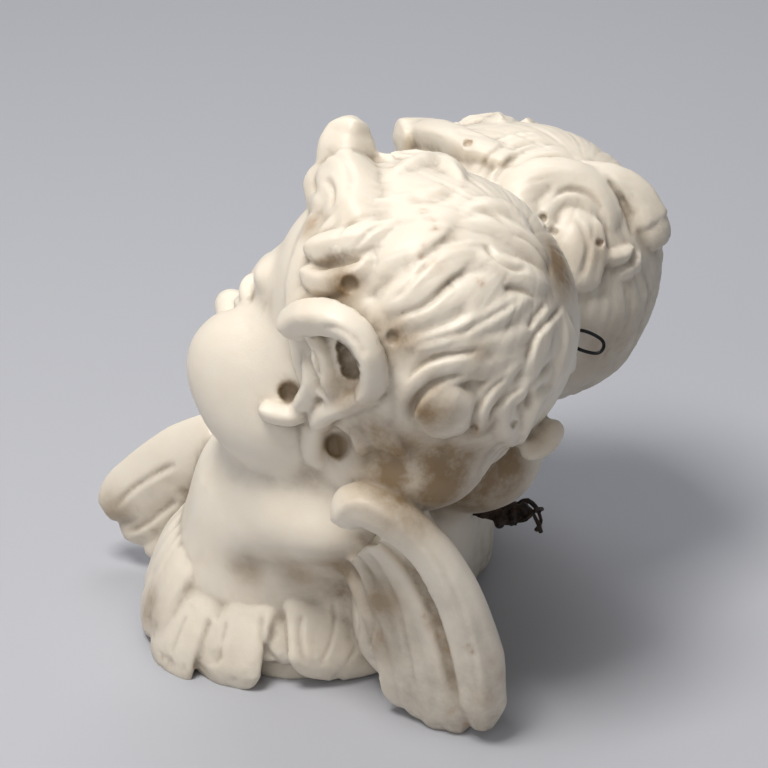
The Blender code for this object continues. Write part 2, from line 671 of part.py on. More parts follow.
def planPoint(skirt, angle, share):
    # A point on the skirt's rounded rectangle: angle 0 is +X, 90 is -Y.
    c, s = math.cos(math.radians(angle)), math.sin(math.radians(angle))
    power = 2 / 2.6
    x = math.copysign(abs(c) ** power, c) * skirt["half"][0] * share
    y = -math.copysign(abs(s) ** power, s) * skirt["half"][1] * share
    return skirt["centre"][0] + x, skirt["centre"][1] + y


def skirtDepth(skirt, points, profile="shares"):
    # Under 1 inside the skirt's profile.
    gap = np.abs(points[:, :2] - np.array(skirt["centre"])) / np.array(skirt["half"])
    out = (gap ** 2.6).sum(axis=1) ** (1 / 2.6)
    return out / np.interp(points[:, 2], skirt["heights"], skirt[profile])


def shownOnSkirt(skirt, x, y, lift):
    eye, along = sight(x, y)
    points = eye + along * np.linspace(1340, 1640, 900)[:, None]
    inside = np.flatnonzero(skirtDepth(skirt, points) < 1)
    point = points[inside[0]] if len(inside) else points[np.argmin(skirtDepth(skirt, points))]
    outward = unit(np.append(point[:2] - np.array(skirt["centre"]), 14.0))
    return point + outward * lift, outward


def addSkirt(clay, skirt):
    first, last, count = skirt["hidden"]
    for i, angle in enumerate(np.linspace(first, last, count)):
        heights = [skirt["heights"][k] for k in (4, 3, 2, 0)]
        heights[-1] += 3 if i % 2 else 0
        shares = [skirt["shares"][k] for k in (4, 3, 2, 0)]
        run = [(*planPoint(skirt, angle, share), z) for share, z in zip(shares, heights)]
        outward = np.array([*planPoint(skirt, angle, 2), 0]) - np.array([*planPoint(skirt, angle, 1), 0])
        facing = unit(outward) + np.array([0, 0, 0.35])
        addFeather(clay, run, facing, skirt["width"], skirt["depth"], 4, 0.16, 0.75, 1.0, 0.7)


def addBreastFeathers(clay):
    for width, thickness, ridges, run in breastFeathers:
        run = curveThrough(run, 30)
        found = [shownOnSkirt(nearSkirt, *spot) for spot in run]
        path, normals = np.array([f[0] for f in found]), np.array([f[1] for f in found])
        shape = tapered(len(path), 0.85, 1.0, 0.25, 0.78)
        clay.add(*swept(path, normals, width * shape, thickness * np.sqrt(shape), ridges, 0.14, 36, 0.05))


nearWing = {
    # the thick leading edge, then the feathers under it from the outermost inwards: width,
    # thickness, ridges, and the run in show units with its X
    "edge": ((343, 512, -15), (362, 504, -9), (396, 520, -4), (432, 555, -1), (460, 602, 1), (477, 652, 2),
             (483, 694, 2), (482, 726, 0)),
    "feathers": [
        (20, 15, 1, ((378, 536, -13), (406, 568, -9), (430, 612, -6), (446, 662, -4), (454, 704, -4),
                     (458, 730, -6))),
        (19, 14, 1, ((366, 544, -18), (392, 574, -13), (413, 616, -9), (428, 664, -7), (437, 702, -7),
                     (441, 728, -9))),
        (18, 13, 1, ((357, 553, -23), (381, 582, -17), (401, 620, -13), (413, 662, -11), (420, 694, -12),
                     (424, 716, -14))),
        (18, 12, 1, ((350, 562, -29), (373, 594, -22), (389, 628, -18), (397, 662, -16), (402, 688, -17),
                     (404, 704, -19))),
    ],
}


def addNearWing(clay):
    # The left wing of the near cherub: a thick leading edge that arches back, and feathers under it.
    side = (1, 0.1, 0.45)
    path = curveThrough([seenAt(*p) for p in nearWing["edge"]], 60)
    normals = np.broadcast_to(np.array(side, float), path.shape)
    s = np.linspace(0, 1, len(path))
    full = np.interp(s, (0, 0.05, 0.16, 0.9, 1), (0.7, 0.98, 1, 1, 0.5))
    wide = np.interp(s, (0, 0.3, 0.75, 1), (19, 19, 22, 19))
    clay.add(*swept(path, normals, wide * full, (25 - 8 * s) * full, 2, 0.1, 40, 0.25))
    for width, thickness, ridges, run in nearWing["feathers"]:
        addFeather(clay, [seenAt(*p) for p in run], (1, -0.05, 0.3), width, thickness, ridges, 0.2, 0.7, 1.0, 0.84, 40)


def addMiddleWing(clay):
    # The right wing of the near cherub, reaching forwards and down.
    runs = [
        [(222, 436, -122), (172, 462, -134), (124, 500, -142), (112, 518, -143)],
        [(224, 462, -122), (182, 488, -134), (142, 522, -140), (126, 538, -140)],
        [(224, 492, -122), (198, 512, -132), (168, 538, -136), (148, 553, -137)],
    ]
    for i, run in enumerate(runs):
        addFeather(clay, [seenAt(*p) for p in run], (1, -0.1, 0.6), 29 - 2 * i, 14, 1, 0.14, 0.85, 0.98, 0.76, 36)


def addFarWing(clay):
    # The right wing of the far cherub, on the side away from +X.
    shoulder = np.array([-184, -10, 80])
    tips = [(-206, 16, 4), (-208, 8, 2), (-208, -4, 3), (-206, -16, 8), (-202, -26, 16)]
    for i, tip in enumerate(tips):
        tip = np.array(tip, float)
        root = shoulder + np.array([0, -2 * i, -4 * i])
        middle = root * 0.5 + tip * 0.5 + np.array([-6, 6 - i, 8 - i])
        addFeather(clay, [root, middle, tip], (-1, 0, 0.3), 22, 18, 2, 0.25, 0.8, 0.9, 0.8)
    edge = [(-172, -12, 78), (-190, -4, 86), (-200, 8, 70), (-206, 16, 40), (-206, 18, 8)]
    path = curveThrough(edge, 24)
    normals = np.broadcast_to(np.array((-1, 0.3, 0.4), float), path.shape)
    s = np.linspace(0, 1, 24)
    clay.add(*swept(path, normals, 26 - 8 * s, 24 - 10 * s, 3, 0.18, 32))


def marbleMesh(skinVoxel, carvingVoxel):
    # The whole group as one fused mesh, in millimetres.
    clay = Clay()
    addBodyForms(clay)
    for head in (nearHead, farHead):
        addHeadForms(clay, headMatrix(head))
    skin = drawnTo(fused(clay.mesh("skin"), skinVoxel, 4), skinDistance)
    carving = Clay()
    carving.addMesh(skin)
    bpy.data.meshes.remove(skin)
    near, far = Scalp(nearHead), Scalp(farHead)
    addShownHair(carving, near, nearLocks, nearLumps)
    addShownHair(carving, far, farLocks, farLumps)
    addFlowingHair(carving, near, (170, 62), 3, 19, 0.12)
    addFlowingHair(carving, far, (180, 60), 8, 19, 0.12)
    addFringe(carving, near, np.arange(-112, -5, 17))
    addFringe(carving, far, np.arange(-112, -5, 17))
    addSkirt(carving, nearSkirt)
    addSkirt(carving, farSkirt)
    addBreastFeathers(carving)
    addNearWing(carving)
    addMiddleWing(carving)
    addFarWing(carving)
    return fused(carving.mesh("carving"), carvingVoxel, 3)


# Hollows and holes.


def shownOn(tree, x, y):
    eye, along = sight(x, y)
    hit, normal, _, _ = tree.ray_cast(Vector(eye), Vector(along))
    return None if hit is None else (np.array(hit), np.array(normal))


def bell(distance, width):
    return np.exp(-(distance / width) ** 2)


def cutHollow(points, move, tree, width, depth, run):
    # Adds one broad stroke of the chisel to the moves of the points near it.
    spots = [shownOn(tree, x, y) for x, y in curveThrough(run, 14 * len(run))]
    path = np.array([s[0] for s in spots if s is not None])
    near = np.flatnonzero(np.all((points > path.min(0) - 3 * width) & (points < path.max(0) + 3 * width), axis=1))
    gap = np.linalg.norm(points[near][:, None, :] - path[None, :, :], axis=2)
    s = gap.argmin(axis=1) / (len(path) - 1)
    fade = np.clip(np.minimum(s, 1 - s) / 0.22, 0, 1)
    move[near] -= depth * fade * fade * (3 - 2 * fade) * bell(gap.min(axis=1), width)


def drillInto(points, tree, x, y, radius, depth):
    found = shownOn(tree, x, y)
    if found is None:
        return
    _, along = sight(x, y)
    gap = points - found[0]
    forward = gap @ along
    away = np.linalg.norm(gap - forward[:, None] * along, axis=1)
    inside = (away < radius * 1.35) & (np.abs(forward) < depth + radius)
    share = np.clip((1.35 - away[inside] / radius) / 0.6, 0, 1)
    floor = depth * share * share * (3 - 2 * share)
    points[inside] += along * np.maximum(floor - np.maximum(forward[inside], 0), 0)[:, None]


def carved(mesh):
    points, normals, tree = pointsOf(mesh), normalsOf(mesh), treeOf(mesh)
    move = np.zeros(len(points))
    for hollow in hollows:
        cutHollow(points, move, tree, *hollow)
    points = points + normals * move[:, None]
    for hole in drillHoles:
        drillInto(points, tree, *hole)
    setPoints(mesh, points)
    return mesh


# The iron and the wire.


def bar(start, end, size, grow=0.0, reach=0.0):
    # A squared bar between two points, the second size across it and the first from side to side.
    start, end = np.array(start, float), np.array(end, float)
    along = unit(end - start)
    side = unit(np.cross(along, (1, 0, 0) if abs(along[2]) > 0.9 else (0, 0, 1)))
    up = np.cross(side, along)
    start, end = start - along * grow, end + along * (grow + reach)
    width, height = size[0] / 2 + grow, size[1] / 2 + grow
    corners = [(1, 1), (-1, 1), (-1, -1), (1, -1)]
    points = [at + side * x * width + up * y * height for at in (start, end) for x, y in corners]
    faces = [[3, 2, 1, 0], [4, 5, 6, 7]] + [[i, (i + 1) % 4, (i + 1) % 4 + 4, i + 4] for i in range(4)]
    return np.array(points), faces


def addWire(clay, run, width, count=60, sides=16):
    path = curveThrough(run, count)
    tangents = unit(np.gradient(path, axis=0))
    normals = unit(np.cross(tangents, (0.3, 0.2, 1)))
    clay.add(*swept(path, normals, width, width / 0.85, sides=sides))


def crampMesh(voxel):
    # The end of the bar, the turns of wire bound round it and the wires' twisted ends.
    clay = Clay()
    clay.add(*bar(BAR_START, BAR_END, BAR_SIZE))
    start, end = np.array(BAR_START, float), np.array(BAR_END, float)
    along = unit(end - start)
    side = unit(np.cross(along, (0, 0, 1)))
    up = np.cross(side, along)
    turns = 3
    run = []
    for i in range(turns * 8 + 1):
        angle = 2 * math.pi * i / 8
        at = end - along * (7.5 - 5.5 * i / (turns * 8))
        run.append(at + side * math.cos(angle) * (BAR_SIZE[0] / 2 + 0.9) + up * math.sin(angle) * (BAR_SIZE[1] / 2 + 0.9))
    addWire(clay, run, BINDING_WIRE, 120)
    tails = [
        [(-2, 3, -2), (3, 5, 2), (6, 2, 6), (9, -3, 4), (7, -7, 0)],
        [(-4, -3, 1), (1, -5, 5), (6, -6, 3), (10, -2, -1), (9, 3, -4)],
        [(-3, 1, 3), (3, 1, 5), (8, 3, 1), (11, 5, -3)],
    ]
    for tail in tails:
        addWire(clay, [end + along * a + side * b + up * c for a, b, c in tail], BINDING_WIRE, 50)
    for a, b, c, radius in RUST_LUMPS:
        clay.addBall(end + along * a + side * b + up * c, (radius, radius * 0.8, radius))
    return fused(clay.mesh("cramp"), voxel, 1)


def wireHole(tree):
    # Where the wire goes in: the marble that is met on the way forwards from behind, between the heads.
    x, z = WIRE_AT
    hit, _, _, _ = tree.ray_cast(Vector((x, 300, z)), Vector((0, -1, 0)))
    return np.array(hit)


def loopMesh(hole):
    ahead = unit(WIRE_AHEAD)
    across = unit(np.cross(ahead, (0.9, 0, 0.3)))
    half = LOOP_WIDTH / 2
    run = [(-0.4, 0.3), (-0.1, 0.4), (0.2, 0.7), (0.5, 1.0), (0.8, 0.9), (0.95, 0.6), (1, 0)]
    run = [(a * LOOP_LENGTH, b) for a, b in run]
    run = [hole + ahead * a + across * b * half for a, b in run] + [
        hole + ahead * a - across * b * half for a, b in reversed(run[:-1])
    ]
    clay = Clay()
    addWire(clay, run, WIRE_WIDTH, 34, 10)
    return facingOut(clay.mesh("wire_loop"))


# Cutting, thinning and placing.


def facingOut(mesh):
    bm = bmesh.new()
    bm.from_mesh(mesh)
    bmesh.ops.recalc_face_normals(bm, faces=bm.faces)
    bm.to_mesh(mesh)
    bm.free()
    return mesh


def cutBy(mesh, *cutters):
    # The mesh less each cutter. A cutter is a closed mesh's points and faces.
    for points, faces in cutters:
        clay = Clay()
        clay.add(points, faces)
        obj = bpy.data.objects.new("cutter", facingOut(clay.mesh("cutter")))
        bpy.context.scene.collection.objects.link(obj)
        mesh = throughModifiers(mesh, ("BOOLEAN", {"operation": "DIFFERENCE", "solver": "EXACT", "object": obj}))
        bpy.data.objects.remove(obj)
    return mesh


def wallNormal():
    tilt = math.radians(WALL_TILT)
    return np.array([0, math.cos(tilt), -math.sin(tilt)])


def slab(normal, offset):
    # A thick block whose near face lies in the plane.
    normal = unit(normal)
    middle = np.array([-100, 0, 0]) - normal * (np.array([-100, 0, 0]) @ normal)
    return bar(middle + normal * offset, middle + normal * (offset + 80), (500, 500))


def thinned(mesh, triangles):
    mesh.calc_loop_triangles()
    share = triangles / len(mesh.loop_triangles)
    return throughModifiers(mesh, ("TRIANGULATE", {}), ("DECIMATE", {"ratio": min(1, share)}))


def largestBody(mesh):
    # Leaves only the body with the most faces, so that no crumb of the fusing stays behind.
    bm = bmesh.new()
    bm.from_mesh(mesh)
    bm.verts.ensure_lookup_table()
    left, bodies = set(bm.verts), []
    while left:
        body, edge = set(), [left.pop()]
        while edge:
            vert = edge.pop()
            body.add(vert)
            for e in vert.link_edges:
                other = e.other_vert(vert)
                if other in left:
                    left.discard(other)
                    edge.append(other)
        bodies.append(body)
    biggest = max(bodies, key=len)
    bmesh.ops.delete(bm, geom=[v for v in bm.verts if v not in biggest], context="VERTS")
    bm.to_mesh(mesh)
    bm.free()
    return mesh


def stone(name, colour, roughness, metallic=0.0):
    material = bpy.data.materials.new(name)
    material.use_nodes = True
    shader = material.node_tree.nodes["Principled BSDF"]
    shader.inputs["Base Color"].default_value = (*colour, 1)
    shader.inputs["Roughness"].default_value = roughness
    shader.inputs["Metallic"].default_value = metallic
    return material


def place(name, mesh, material, shift):
    mesh.transform(Matrix.Scale(MM, 4) @ Matrix.Translation(shift))
    mesh.materials.clear()
    mesh.materials.append(material)
    obj = bpy.data.objects.new(name, mesh)
    bpy.context.scene.collection.objects.link(obj)
    return obj


def flatMiddle(mesh, normal):
    # The middle of the flat that faces this way.
    flat = [p for p in mesh.polygons if np.array(p.normal) @ unit(normal) > 0.9999]
    areas = np.array([p.area for p in flat])
    return areas @ np.array([p.center[:] for p in flat]) / areas.sum(), areas.sum()


def treeOf(mesh):
    return BVHTree.FromPolygons([v.co[:] for v in mesh.vertices], [p.vertices[:] for p in mesh.polygons])


def main():
    for obj in list(bpy.data.objects):
        bpy.data.objects.remove(obj)
    marble = largestBody(thinned(carved(marbleMesh(SKIN_VOXEL, CARVING_VOXEL)), MARBLE_TRIANGLES))
    hole = wireHole(treeOf(marble))
    ahead = unit(WIRE_AHEAD)
    drill = Clay()
    addWire(drill, [hole - ahead * 12, hole - ahead * 6, hole, hole + ahead * 12], WIRE_HOLE, 6, 12)
    socket = bar(BAR_START, BAR_END, BAR_SIZE, CLEARANCE, 4)
    outwards = unit(np.array(BAR_END, float) - np.array(BAR_START, float))
    pocket = bar(np.array(BAR_END) - outwards * POCKET_DEPTH, np.array(BAR_END) + outwards * 20,
                 (BAR_SIZE[0] + 2 * POCKET_ROOM, BAR_SIZE[1] + 2 * POCKET_ROOM))
    marble = cutBy(marble, slab((0, 0, -1), 0), slab(wallNormal(), WALL_OFFSET), socket, pocket,
                   (np.concatenate(drill.points), drill.faces))
    cramp = largestBody(thinned(crampMesh(0.7), IRON_TRIANGLES))
    loop = loopMesh(hole)
    # The origin is moved to the middle of the underside of the whole.
    corners = np.concatenate([pointsOf(m) for m in (marble, cramp, loop)])
    low, high = corners.min(axis=0), corners.max(axis=0)
    shift = Vector((-(low[0] + high[0]) / 2, -(low[1] + high[1]) / 2, -low[2]))
    for name, normal in (("underside", (0, 0, -1)), ("wall face", wallNormal())):
        middle, area = flatMiddle(marble, normal)
        print(name, "middle in mm", np.round(middle + np.array(shift), 3), "area", round(area), "facing", normal)
    place("marble_group", marble, stone("white_marble", (0.83, 0.79, 0.7), 0.5), shift)
    place("iron_cramp", cramp, stone("corroded_iron", (0.05, 0.045, 0.04), 0.75, 0.6), shift)
    place("wire_loop", loop, stone("dark_wire", (0.06, 0.06, 0.06), 0.45, 0.9), shift)
    return shift


layoutShift = main()
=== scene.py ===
import math

import bmesh
import bpy
import numpy as np
from mathutils import Euler, Matrix, Vector
from mathutils.bvhtree import BVHTree


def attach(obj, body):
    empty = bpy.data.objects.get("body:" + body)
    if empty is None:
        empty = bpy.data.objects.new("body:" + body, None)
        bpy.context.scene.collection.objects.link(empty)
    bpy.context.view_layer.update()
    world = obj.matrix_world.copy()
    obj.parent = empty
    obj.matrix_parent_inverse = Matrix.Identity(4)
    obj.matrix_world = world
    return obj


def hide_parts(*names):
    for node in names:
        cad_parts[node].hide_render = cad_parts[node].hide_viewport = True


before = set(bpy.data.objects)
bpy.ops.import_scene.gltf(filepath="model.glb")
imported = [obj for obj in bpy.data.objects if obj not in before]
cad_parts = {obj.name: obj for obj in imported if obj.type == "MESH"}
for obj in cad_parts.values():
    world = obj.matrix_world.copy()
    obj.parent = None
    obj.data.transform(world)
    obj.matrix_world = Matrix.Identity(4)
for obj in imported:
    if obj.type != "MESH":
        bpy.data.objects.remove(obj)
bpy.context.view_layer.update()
print("frame loaded:", sorted(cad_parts))

metresPerMm = 0.001
layoutShift = (112.325, 13.626, 0)  # from the layout's origin to the frame's, in millimetres

# The show side is laid out on a square of 768 units, seen from 1.5 m away and 28 degrees up.
showView = {"units": 3571.2, "middle": 384, "target": (-65, -10.9, 132.4), "distance": 1500, "rise": 28}

# turn: the face turns away from +X. lean: the face looks up. whorl: where the hair springs from, as
# longitude from the face and latitude. seed: the draw of the hidden locks.
nearHead = {"centre": (-65, -6, 150), "turn": 36, "lean": 19, "whorl": (170, 62), "seed": 3}
farHead = {"centre": (-158, 42, 126), "turn": 42, "lean": 2, "whorl": (180, 60), "seed": 8}

# The back that meets the wall: its tilt, and how far it lies from the layout's origin.
wallBack = {"tilt": 25, "offset": 39}
loopPlan = {
    "wire": 1.5, "hole": 6, "holeDepth": 12, "at": (-86, 146), "ahead": (0.02, 1, -0.42),
    "length": 19, "width": 8,
}
crampPlan = {
    "bar": (9, 7), "start": (-90, 14, 64), "end": (-87, 48, 56), "wire": 2.2, "turns": 3,
    "pocketDepth": 11, "pocketRoom": 4, "clearance": 0.35, "voxel": 0.45, "triangles": 16000,
    # crusts of rust on the end: along the bar, across, up, radius
    "lumps": ((-8, 4, -3, 3.4), (-3, 5, 2, 3.0), (1, 1, 4, 3.4), (3, -3, 0, 3.0), (-1, -4, -2, 3.2),
              (5, 3, -3, 2.4)),
}

# The forms of a head: place, half sizes, and how softly each runs into the ones before it.
headForms = [
    ("cranium", (0, 8, 20), (57, 61, 58), 0),
    ("forehead", (0, -22, 22), (46, 35, 40), 16),
    ("face", (0, -28, -22), (46, 38, 44), 16),
    ("cheek", (30, -47, -32), (23, 26, 25), 18),
    ("jowl", (25, -29, -47), (24, 26, 20), 16),
    ("chin", (0, -58, -61), (15, 14, 12), 10),
    ("double chin", (0, -34, -65), (32, 29, 13), 9),
    ("muzzle", (0, -63, -46), (19, 13, 15), 12),
    ("nose bridge", (0, -68, -13), (6, 9, 20), 10),
    ("nose tip", (0, -80, -27), (8, 8, 7), 6),
    ("nostril", (7.5, -74, -29), (5.5, 7, 5.5), 4),
    ("brow", (20, -51, 12), (19, 9, 7), 9),
]
eyeSocket = ((22, -73, -4), (15, 14, 9), 8)
eyeball = ((21, -55, -5), (12.5, 12, 11.5), 1.5)

# Breasts, the roots of the wings and the block behind: place, half sizes, softness.
bodyForms = [
    ("breast near", (-84, -46, 68), (35, 36, 26), 26),
    ("shoulder near", (-46, -28, 78), (25, 31, 20), 24),
    ("shoulder middle", (-122, -64, 60), (24, 26, 24), 16),
    ("core", (-98, -40, 24), (40, 50, 38), 14),
    ("skirt core", (-96, -48, 26), (42, 54, 26), 10),
    ("wing root near", (-34, 0, 44), (22, 24, 40), 14),
    ("breast far", (-152, -10, 62), (38, 40, 26), 16),
    ("core far", (-146, -8, 26), (42, 42, 42), 14),
    ("nape block", (-86, 26, 90), (34, 32, 26), 12),
    ("nape near", (-36, 2, 116), (32, 31, 22), 20),
    ("back block", (-106, 4, 50), (42, 27, 46), 12),
]
# Necks run from the head down to the breast: two ends, two radii, softness.
necks = [
    ("neck near", (-74, -30, 112), (-84, -48, 66), 37, 41, 20),
    ("neck far", (-158, 30, 96), (-150, -4, 66), 34, 34, 14),
]
# How softly the skirts' bodies and the heads run into the rest.
joinSoftness = {"skirt": 22, "head": 9}

marbleMaking = {
    "skinVoxel": 1.6, "carvingVoxel": 1.0, "smoothing": 5, "triangles": 192000, "curlSides": 36,
    "shadeRays": 20, "shadeReach": 26,
}

# The skirts of breast feathers stand on rounded rectangles in plan. Their profile is a share of
# that plan for each height, and the body under the feathers takes up most of it.
nearSkirt = {
    "centre": (-94, -49), "half": (56, 66), "heights": (1, 7, 16, 35, 54, 80, 96),
    "shares": (1.0, 0.98, 0.93, 0.82, 0.71, 0.54, 0.36), "body": (0.8, 0.86, 0.88, 0.79, 0.68, 0.52,
                                                                  0.3),
    "hidden": (78, 206, 6), "width": 40, "depth": 13,
}
farSkirt = {
    "centre": (-152, -16), "half": (52, 56), "heights": (1, 7, 16, 35, 54, 74, 90),
    "shares": (1.0, 0.99, 0.96, 0.84, 0.7, 0.54, 0.36), "body": (0.84, 0.92, 0.91, 0.81, 0.68, 0.52,
                                                                 0.3),
    "hidden": (92, 232, 6), "width": 38, "depth": 13,
}
# Breast feathers of the show side: width, thickness, ridges, then the run in show units with lifts.
breastFeathers = [
    (34, 11, 1, [(212, 578, -5), (192, 604, -3), (178, 634, -1), (171, 660, 0), (171, 680, -2)]),
    (38, 11, 2, [(244, 572, -6), (234, 604, -3), (227, 636, -1), (224, 664, 0), (222, 687, -2)]),
    (31, 10, 1, [(284, 570, -6), (282, 602, -3), (283, 632, -1), (286, 664, -1)]),
    (48, 12, 2, [(338, 570, -6), (340, 602, -3), (341, 634, -1), (340, 660, 0), (338, 680, -4)]),
    (32, 10, 1, [(380, 578, -6), (382, 604, -4), (376, 636, -3), (366, 662, -5)]),
    (34, 10, 1, [(290, 620, -10), (290, 650, -9), (291, 687, -9)]),
]

# Hair starts as a cap over the bare head: how far it stands off, and over how many degrees it rises.
hairCap = {"height": 4.0, "edge": 11}
# How a lock is shaped: its width at the root and at the end, where its tip begins to round, how
# deep it sinks into the cap, how far it leans over its neighbour, and whether it faces the show side.
lockKinds = {
    "tuft": (1.0, 0.7, 0.66, 1.0, 0, True), "blunt": (0.9, 1.0, 0.95, 1.0, 0, True),
    "hook": (0.9, 0.3, 0.95, 1.0, 0, False), "ring": (0.8, 0.95, 0.86, 2.0, 0, False),
    "curl": (0.6, 0.8, 0.8, 2.5, 8, False), "strand": (0.5, 0.8, 0.7, 2.5, 12, False),
}

# Hair laid one by one on the show side: kind, width, height, ridges, then its run in show units,
# each with its lift in millimetres above the cap.
nearLocks = [
    # the thick tuft over the forehead, and the curl at its foot
    ("tuft", 29, 22, 1, [(366, 226, -8), (352, 198, -3), (347, 172, 0), (349, 144, 1), (355, 118, 1)]),
    ("ring", 14, 12, 1, [(350, 172, 1), (330, 172, 2), (317, 182, 2), (318, 198, 0), (330, 210, -2)]),
    ("strand", 16, 8, 2, [(392, 198, 0), (362, 208, 1), (336, 222, 1), (314, 238, 0)]),
    # the curl on the temple, in two layers
    ("curl", 15, 12, 1, [(394, 222, -1), (368, 234, 1), (340, 246, 4), (308, 252, 4)]),
    ("curl", 13, 10, 1, [(370, 258, 0), (352, 275, 2), (326, 281, 3), (302, 272, 3)]),
    # the great hook, and the column inside it
    ("hook", 18, 17, 1, [(299, 325, 5), (310, 318, 6), (326, 316, 8), (348, 320, 8), (366, 335, 7),
                         (376, 357, 6),
                         (375, 381, 3), (362, 397, 1)]),
    ("ring", 9, 10, 1, [(316, 334, 3), (323, 352, 4), (329, 374, 3), (338, 397, 1)]),
    ("ring", 9, 9, 1, [(322, 391, 1), (344, 401, 2), (366, 395, 2), (382, 378, 0)]),
    # the hook on the cheek, and the ring curl on the jaw
    ("ring", 10, 12, 1, [(306, 360, -1), (313, 380, 2), (309, 398, 4), (295, 411, 5), (277, 411, 5),
                         (261, 405, 4)]),
    ("ring", 11, 11, 1, [(376, 398, -1), (350, 403, 2), (326, 413, 4), (315, 432, 4), (316, 453, 4),
                         (330, 468, 4),
                         (349, 469, 4), (363, 457, 4), (364, 440, 3), (352, 428, 1)]),
    # long strands from the crown to the ear
    ("strand", 24, 6, 1, [(452, 203, 0), (420, 226, 1), (394, 250, 1), (374, 280, 0)]),
    ("strand", 20, 7, 1, [(476, 238, 0), (446, 256, 1), (418, 280, 2), (396, 302, 2), (382, 313, 1)]),
    ("strand", 20, 7, 1, [(514, 264, 0), (480, 284, 1), (446, 304, 2), (414, 320, 2), (390, 328, 1)]),
    ("strand", 16, 8, 1, [(540, 292, 0), (504, 306, 1), (468, 322, 2), (434, 334, 2), (404, 348, 1)]),
    ("strand", 17, 7, 1, [(544, 324, 0), (506, 336, 1), (466, 343, 2), (430, 350, 1), (404, 370, 0)]),
    ("strand", 16, 8, 1, [(534, 348, 0), (496, 360, 1), (456, 364, 2), (426, 372, 2), (406, 394, 1),
                          (402, 424, 0)]),
    # curls behind the ear
    ("curl", 12, 8, 1, [(536, 352, 0), (508, 372, 1), (488, 392, 2), (481, 420, 2), (478, 440, 0)]),
    ("curl", 13, 8, 1, [(548, 372, 0), (522, 386, 2), (505, 404, 2), (506, 428, 2), (514, 447, 1)]),
    ("curl", 10, 8, 1, [(552, 388, 0), (536, 400, 2), (527, 420, 2), (518, 446, 1)]),
    # the nape, one smooth swell
    ("strand", 28, 8, 1, [(366, 416, 0), (380, 446, 1), (406, 470, 1), (432, 486, 1)]),
    # down the back of the head
    ("strand", 17, 6, 1, [(548, 300, 0), (544, 324, 1), (534, 348, 1), (526, 380, 1), (527, 408, 0)]),
    ("strand", 16, 7, 2, [(562, 306, 0), (566, 340, 1), (558, 372, 1), (548, 404, 0)]),
    # the leaf-shaped lock, in two leaves
    ("curl", 15, 8, 1, [(456, 222, -1), (494, 226, 1), (528, 244, 2), (550, 272, 0)]),
    ("curl", 14, 8, 1, [(470, 247, -1), (500, 266, 1), (530, 279, 2), (552, 290, 0)]),
    # the crown
    ("curl", 12, 9, 1, [(384, 180, -2), (404, 168, 1), (426, 163, 3), (448, 167, 3), (464, 182, 0)]),
    ("curl", 14, 7, 1, [(462, 212, 0), (490, 208, 2), (514, 216, 2), (530, 238, 0)]),
]
farLocks = [
    # the thick blunt lock over the forehead
    ("blunt", 17, 21, 1, [(508, 160, -4), (474, 150, -1), (440, 140, 1), (396, 138, 1)]),
    ("strand", 15, 7, 2, [(470, 186, 0), (490, 160, 1), (520, 141, 1), (562, 138, 0)]),
    ("strand", 15, 7, 2, [(488, 202, 0), (506, 176, 1), (534, 156, 1), (582, 152, 0)]),
    # the great swirl at the side, ring within ring, and the lock that falls from it
    ("curl", 21, 10, 1, [(562, 244, -2), (534, 228, 1), (522, 204, 2), (530, 184, 3), (553, 177, 3),
                         (580, 182, 3),
                         (602, 202, 2), (614, 234, 0)]),
    ("curl", 14, 7, 1, [(554, 236, 0), (547, 218, 2), (553, 203, 2), (568, 197, 2), (586, 201, 2),
                        (596, 222, 0)]),
    ("curl", 27, 11, 1, [(566, 208, -1), (574, 230, 2), (578, 254, 3), (570, 292, 1)]),
    # the broken tuft at the back
    ("blunt", 19, 18, 1, [(588, 172, -5), (614, 184, -1), (632, 202, 2), (645, 228, 3)]),
    ("curl", 8, 8, 1, [(592, 230, 0), (591, 248, 2), (603, 257, 3), (620, 256, 3), (632, 246, 2)]),
    ("curl", 8, 7, 1, [(640, 254, 1), (633, 268, 2), (618, 276, 1)]),
    # low strands down the back
    ("strand", 18, 6, 2, [(630, 262, 0), (636, 296, 1), (628, 330, 1), (606, 362, 0)]),
    ("strand", 18, 6, 2, [(612, 284, 0), (614, 312, 1), (600, 342, 1), (584, 366, 0)]),
    ("strand", 18, 6, 2, [(592, 290, 0), (592, 316, 1), (580, 342, 0)]),
]
# Rounded ends of curls and other lumps: half sizes, then place in show units and lift.
nearLumps = [((13, 14, 7), (446, 412, -1)), ((8, 12, 7), (546, 444, -2.5))]
farLumps = [((9, 10, 8), (648, 230, 2))]

# Where the locks of hair stop: longitude from the face, and the lowest latitude there.
hairline = ([0, 34, 50, 64, 78, 95, 180], [44, 40, 27, 6, -20, -34, -40])

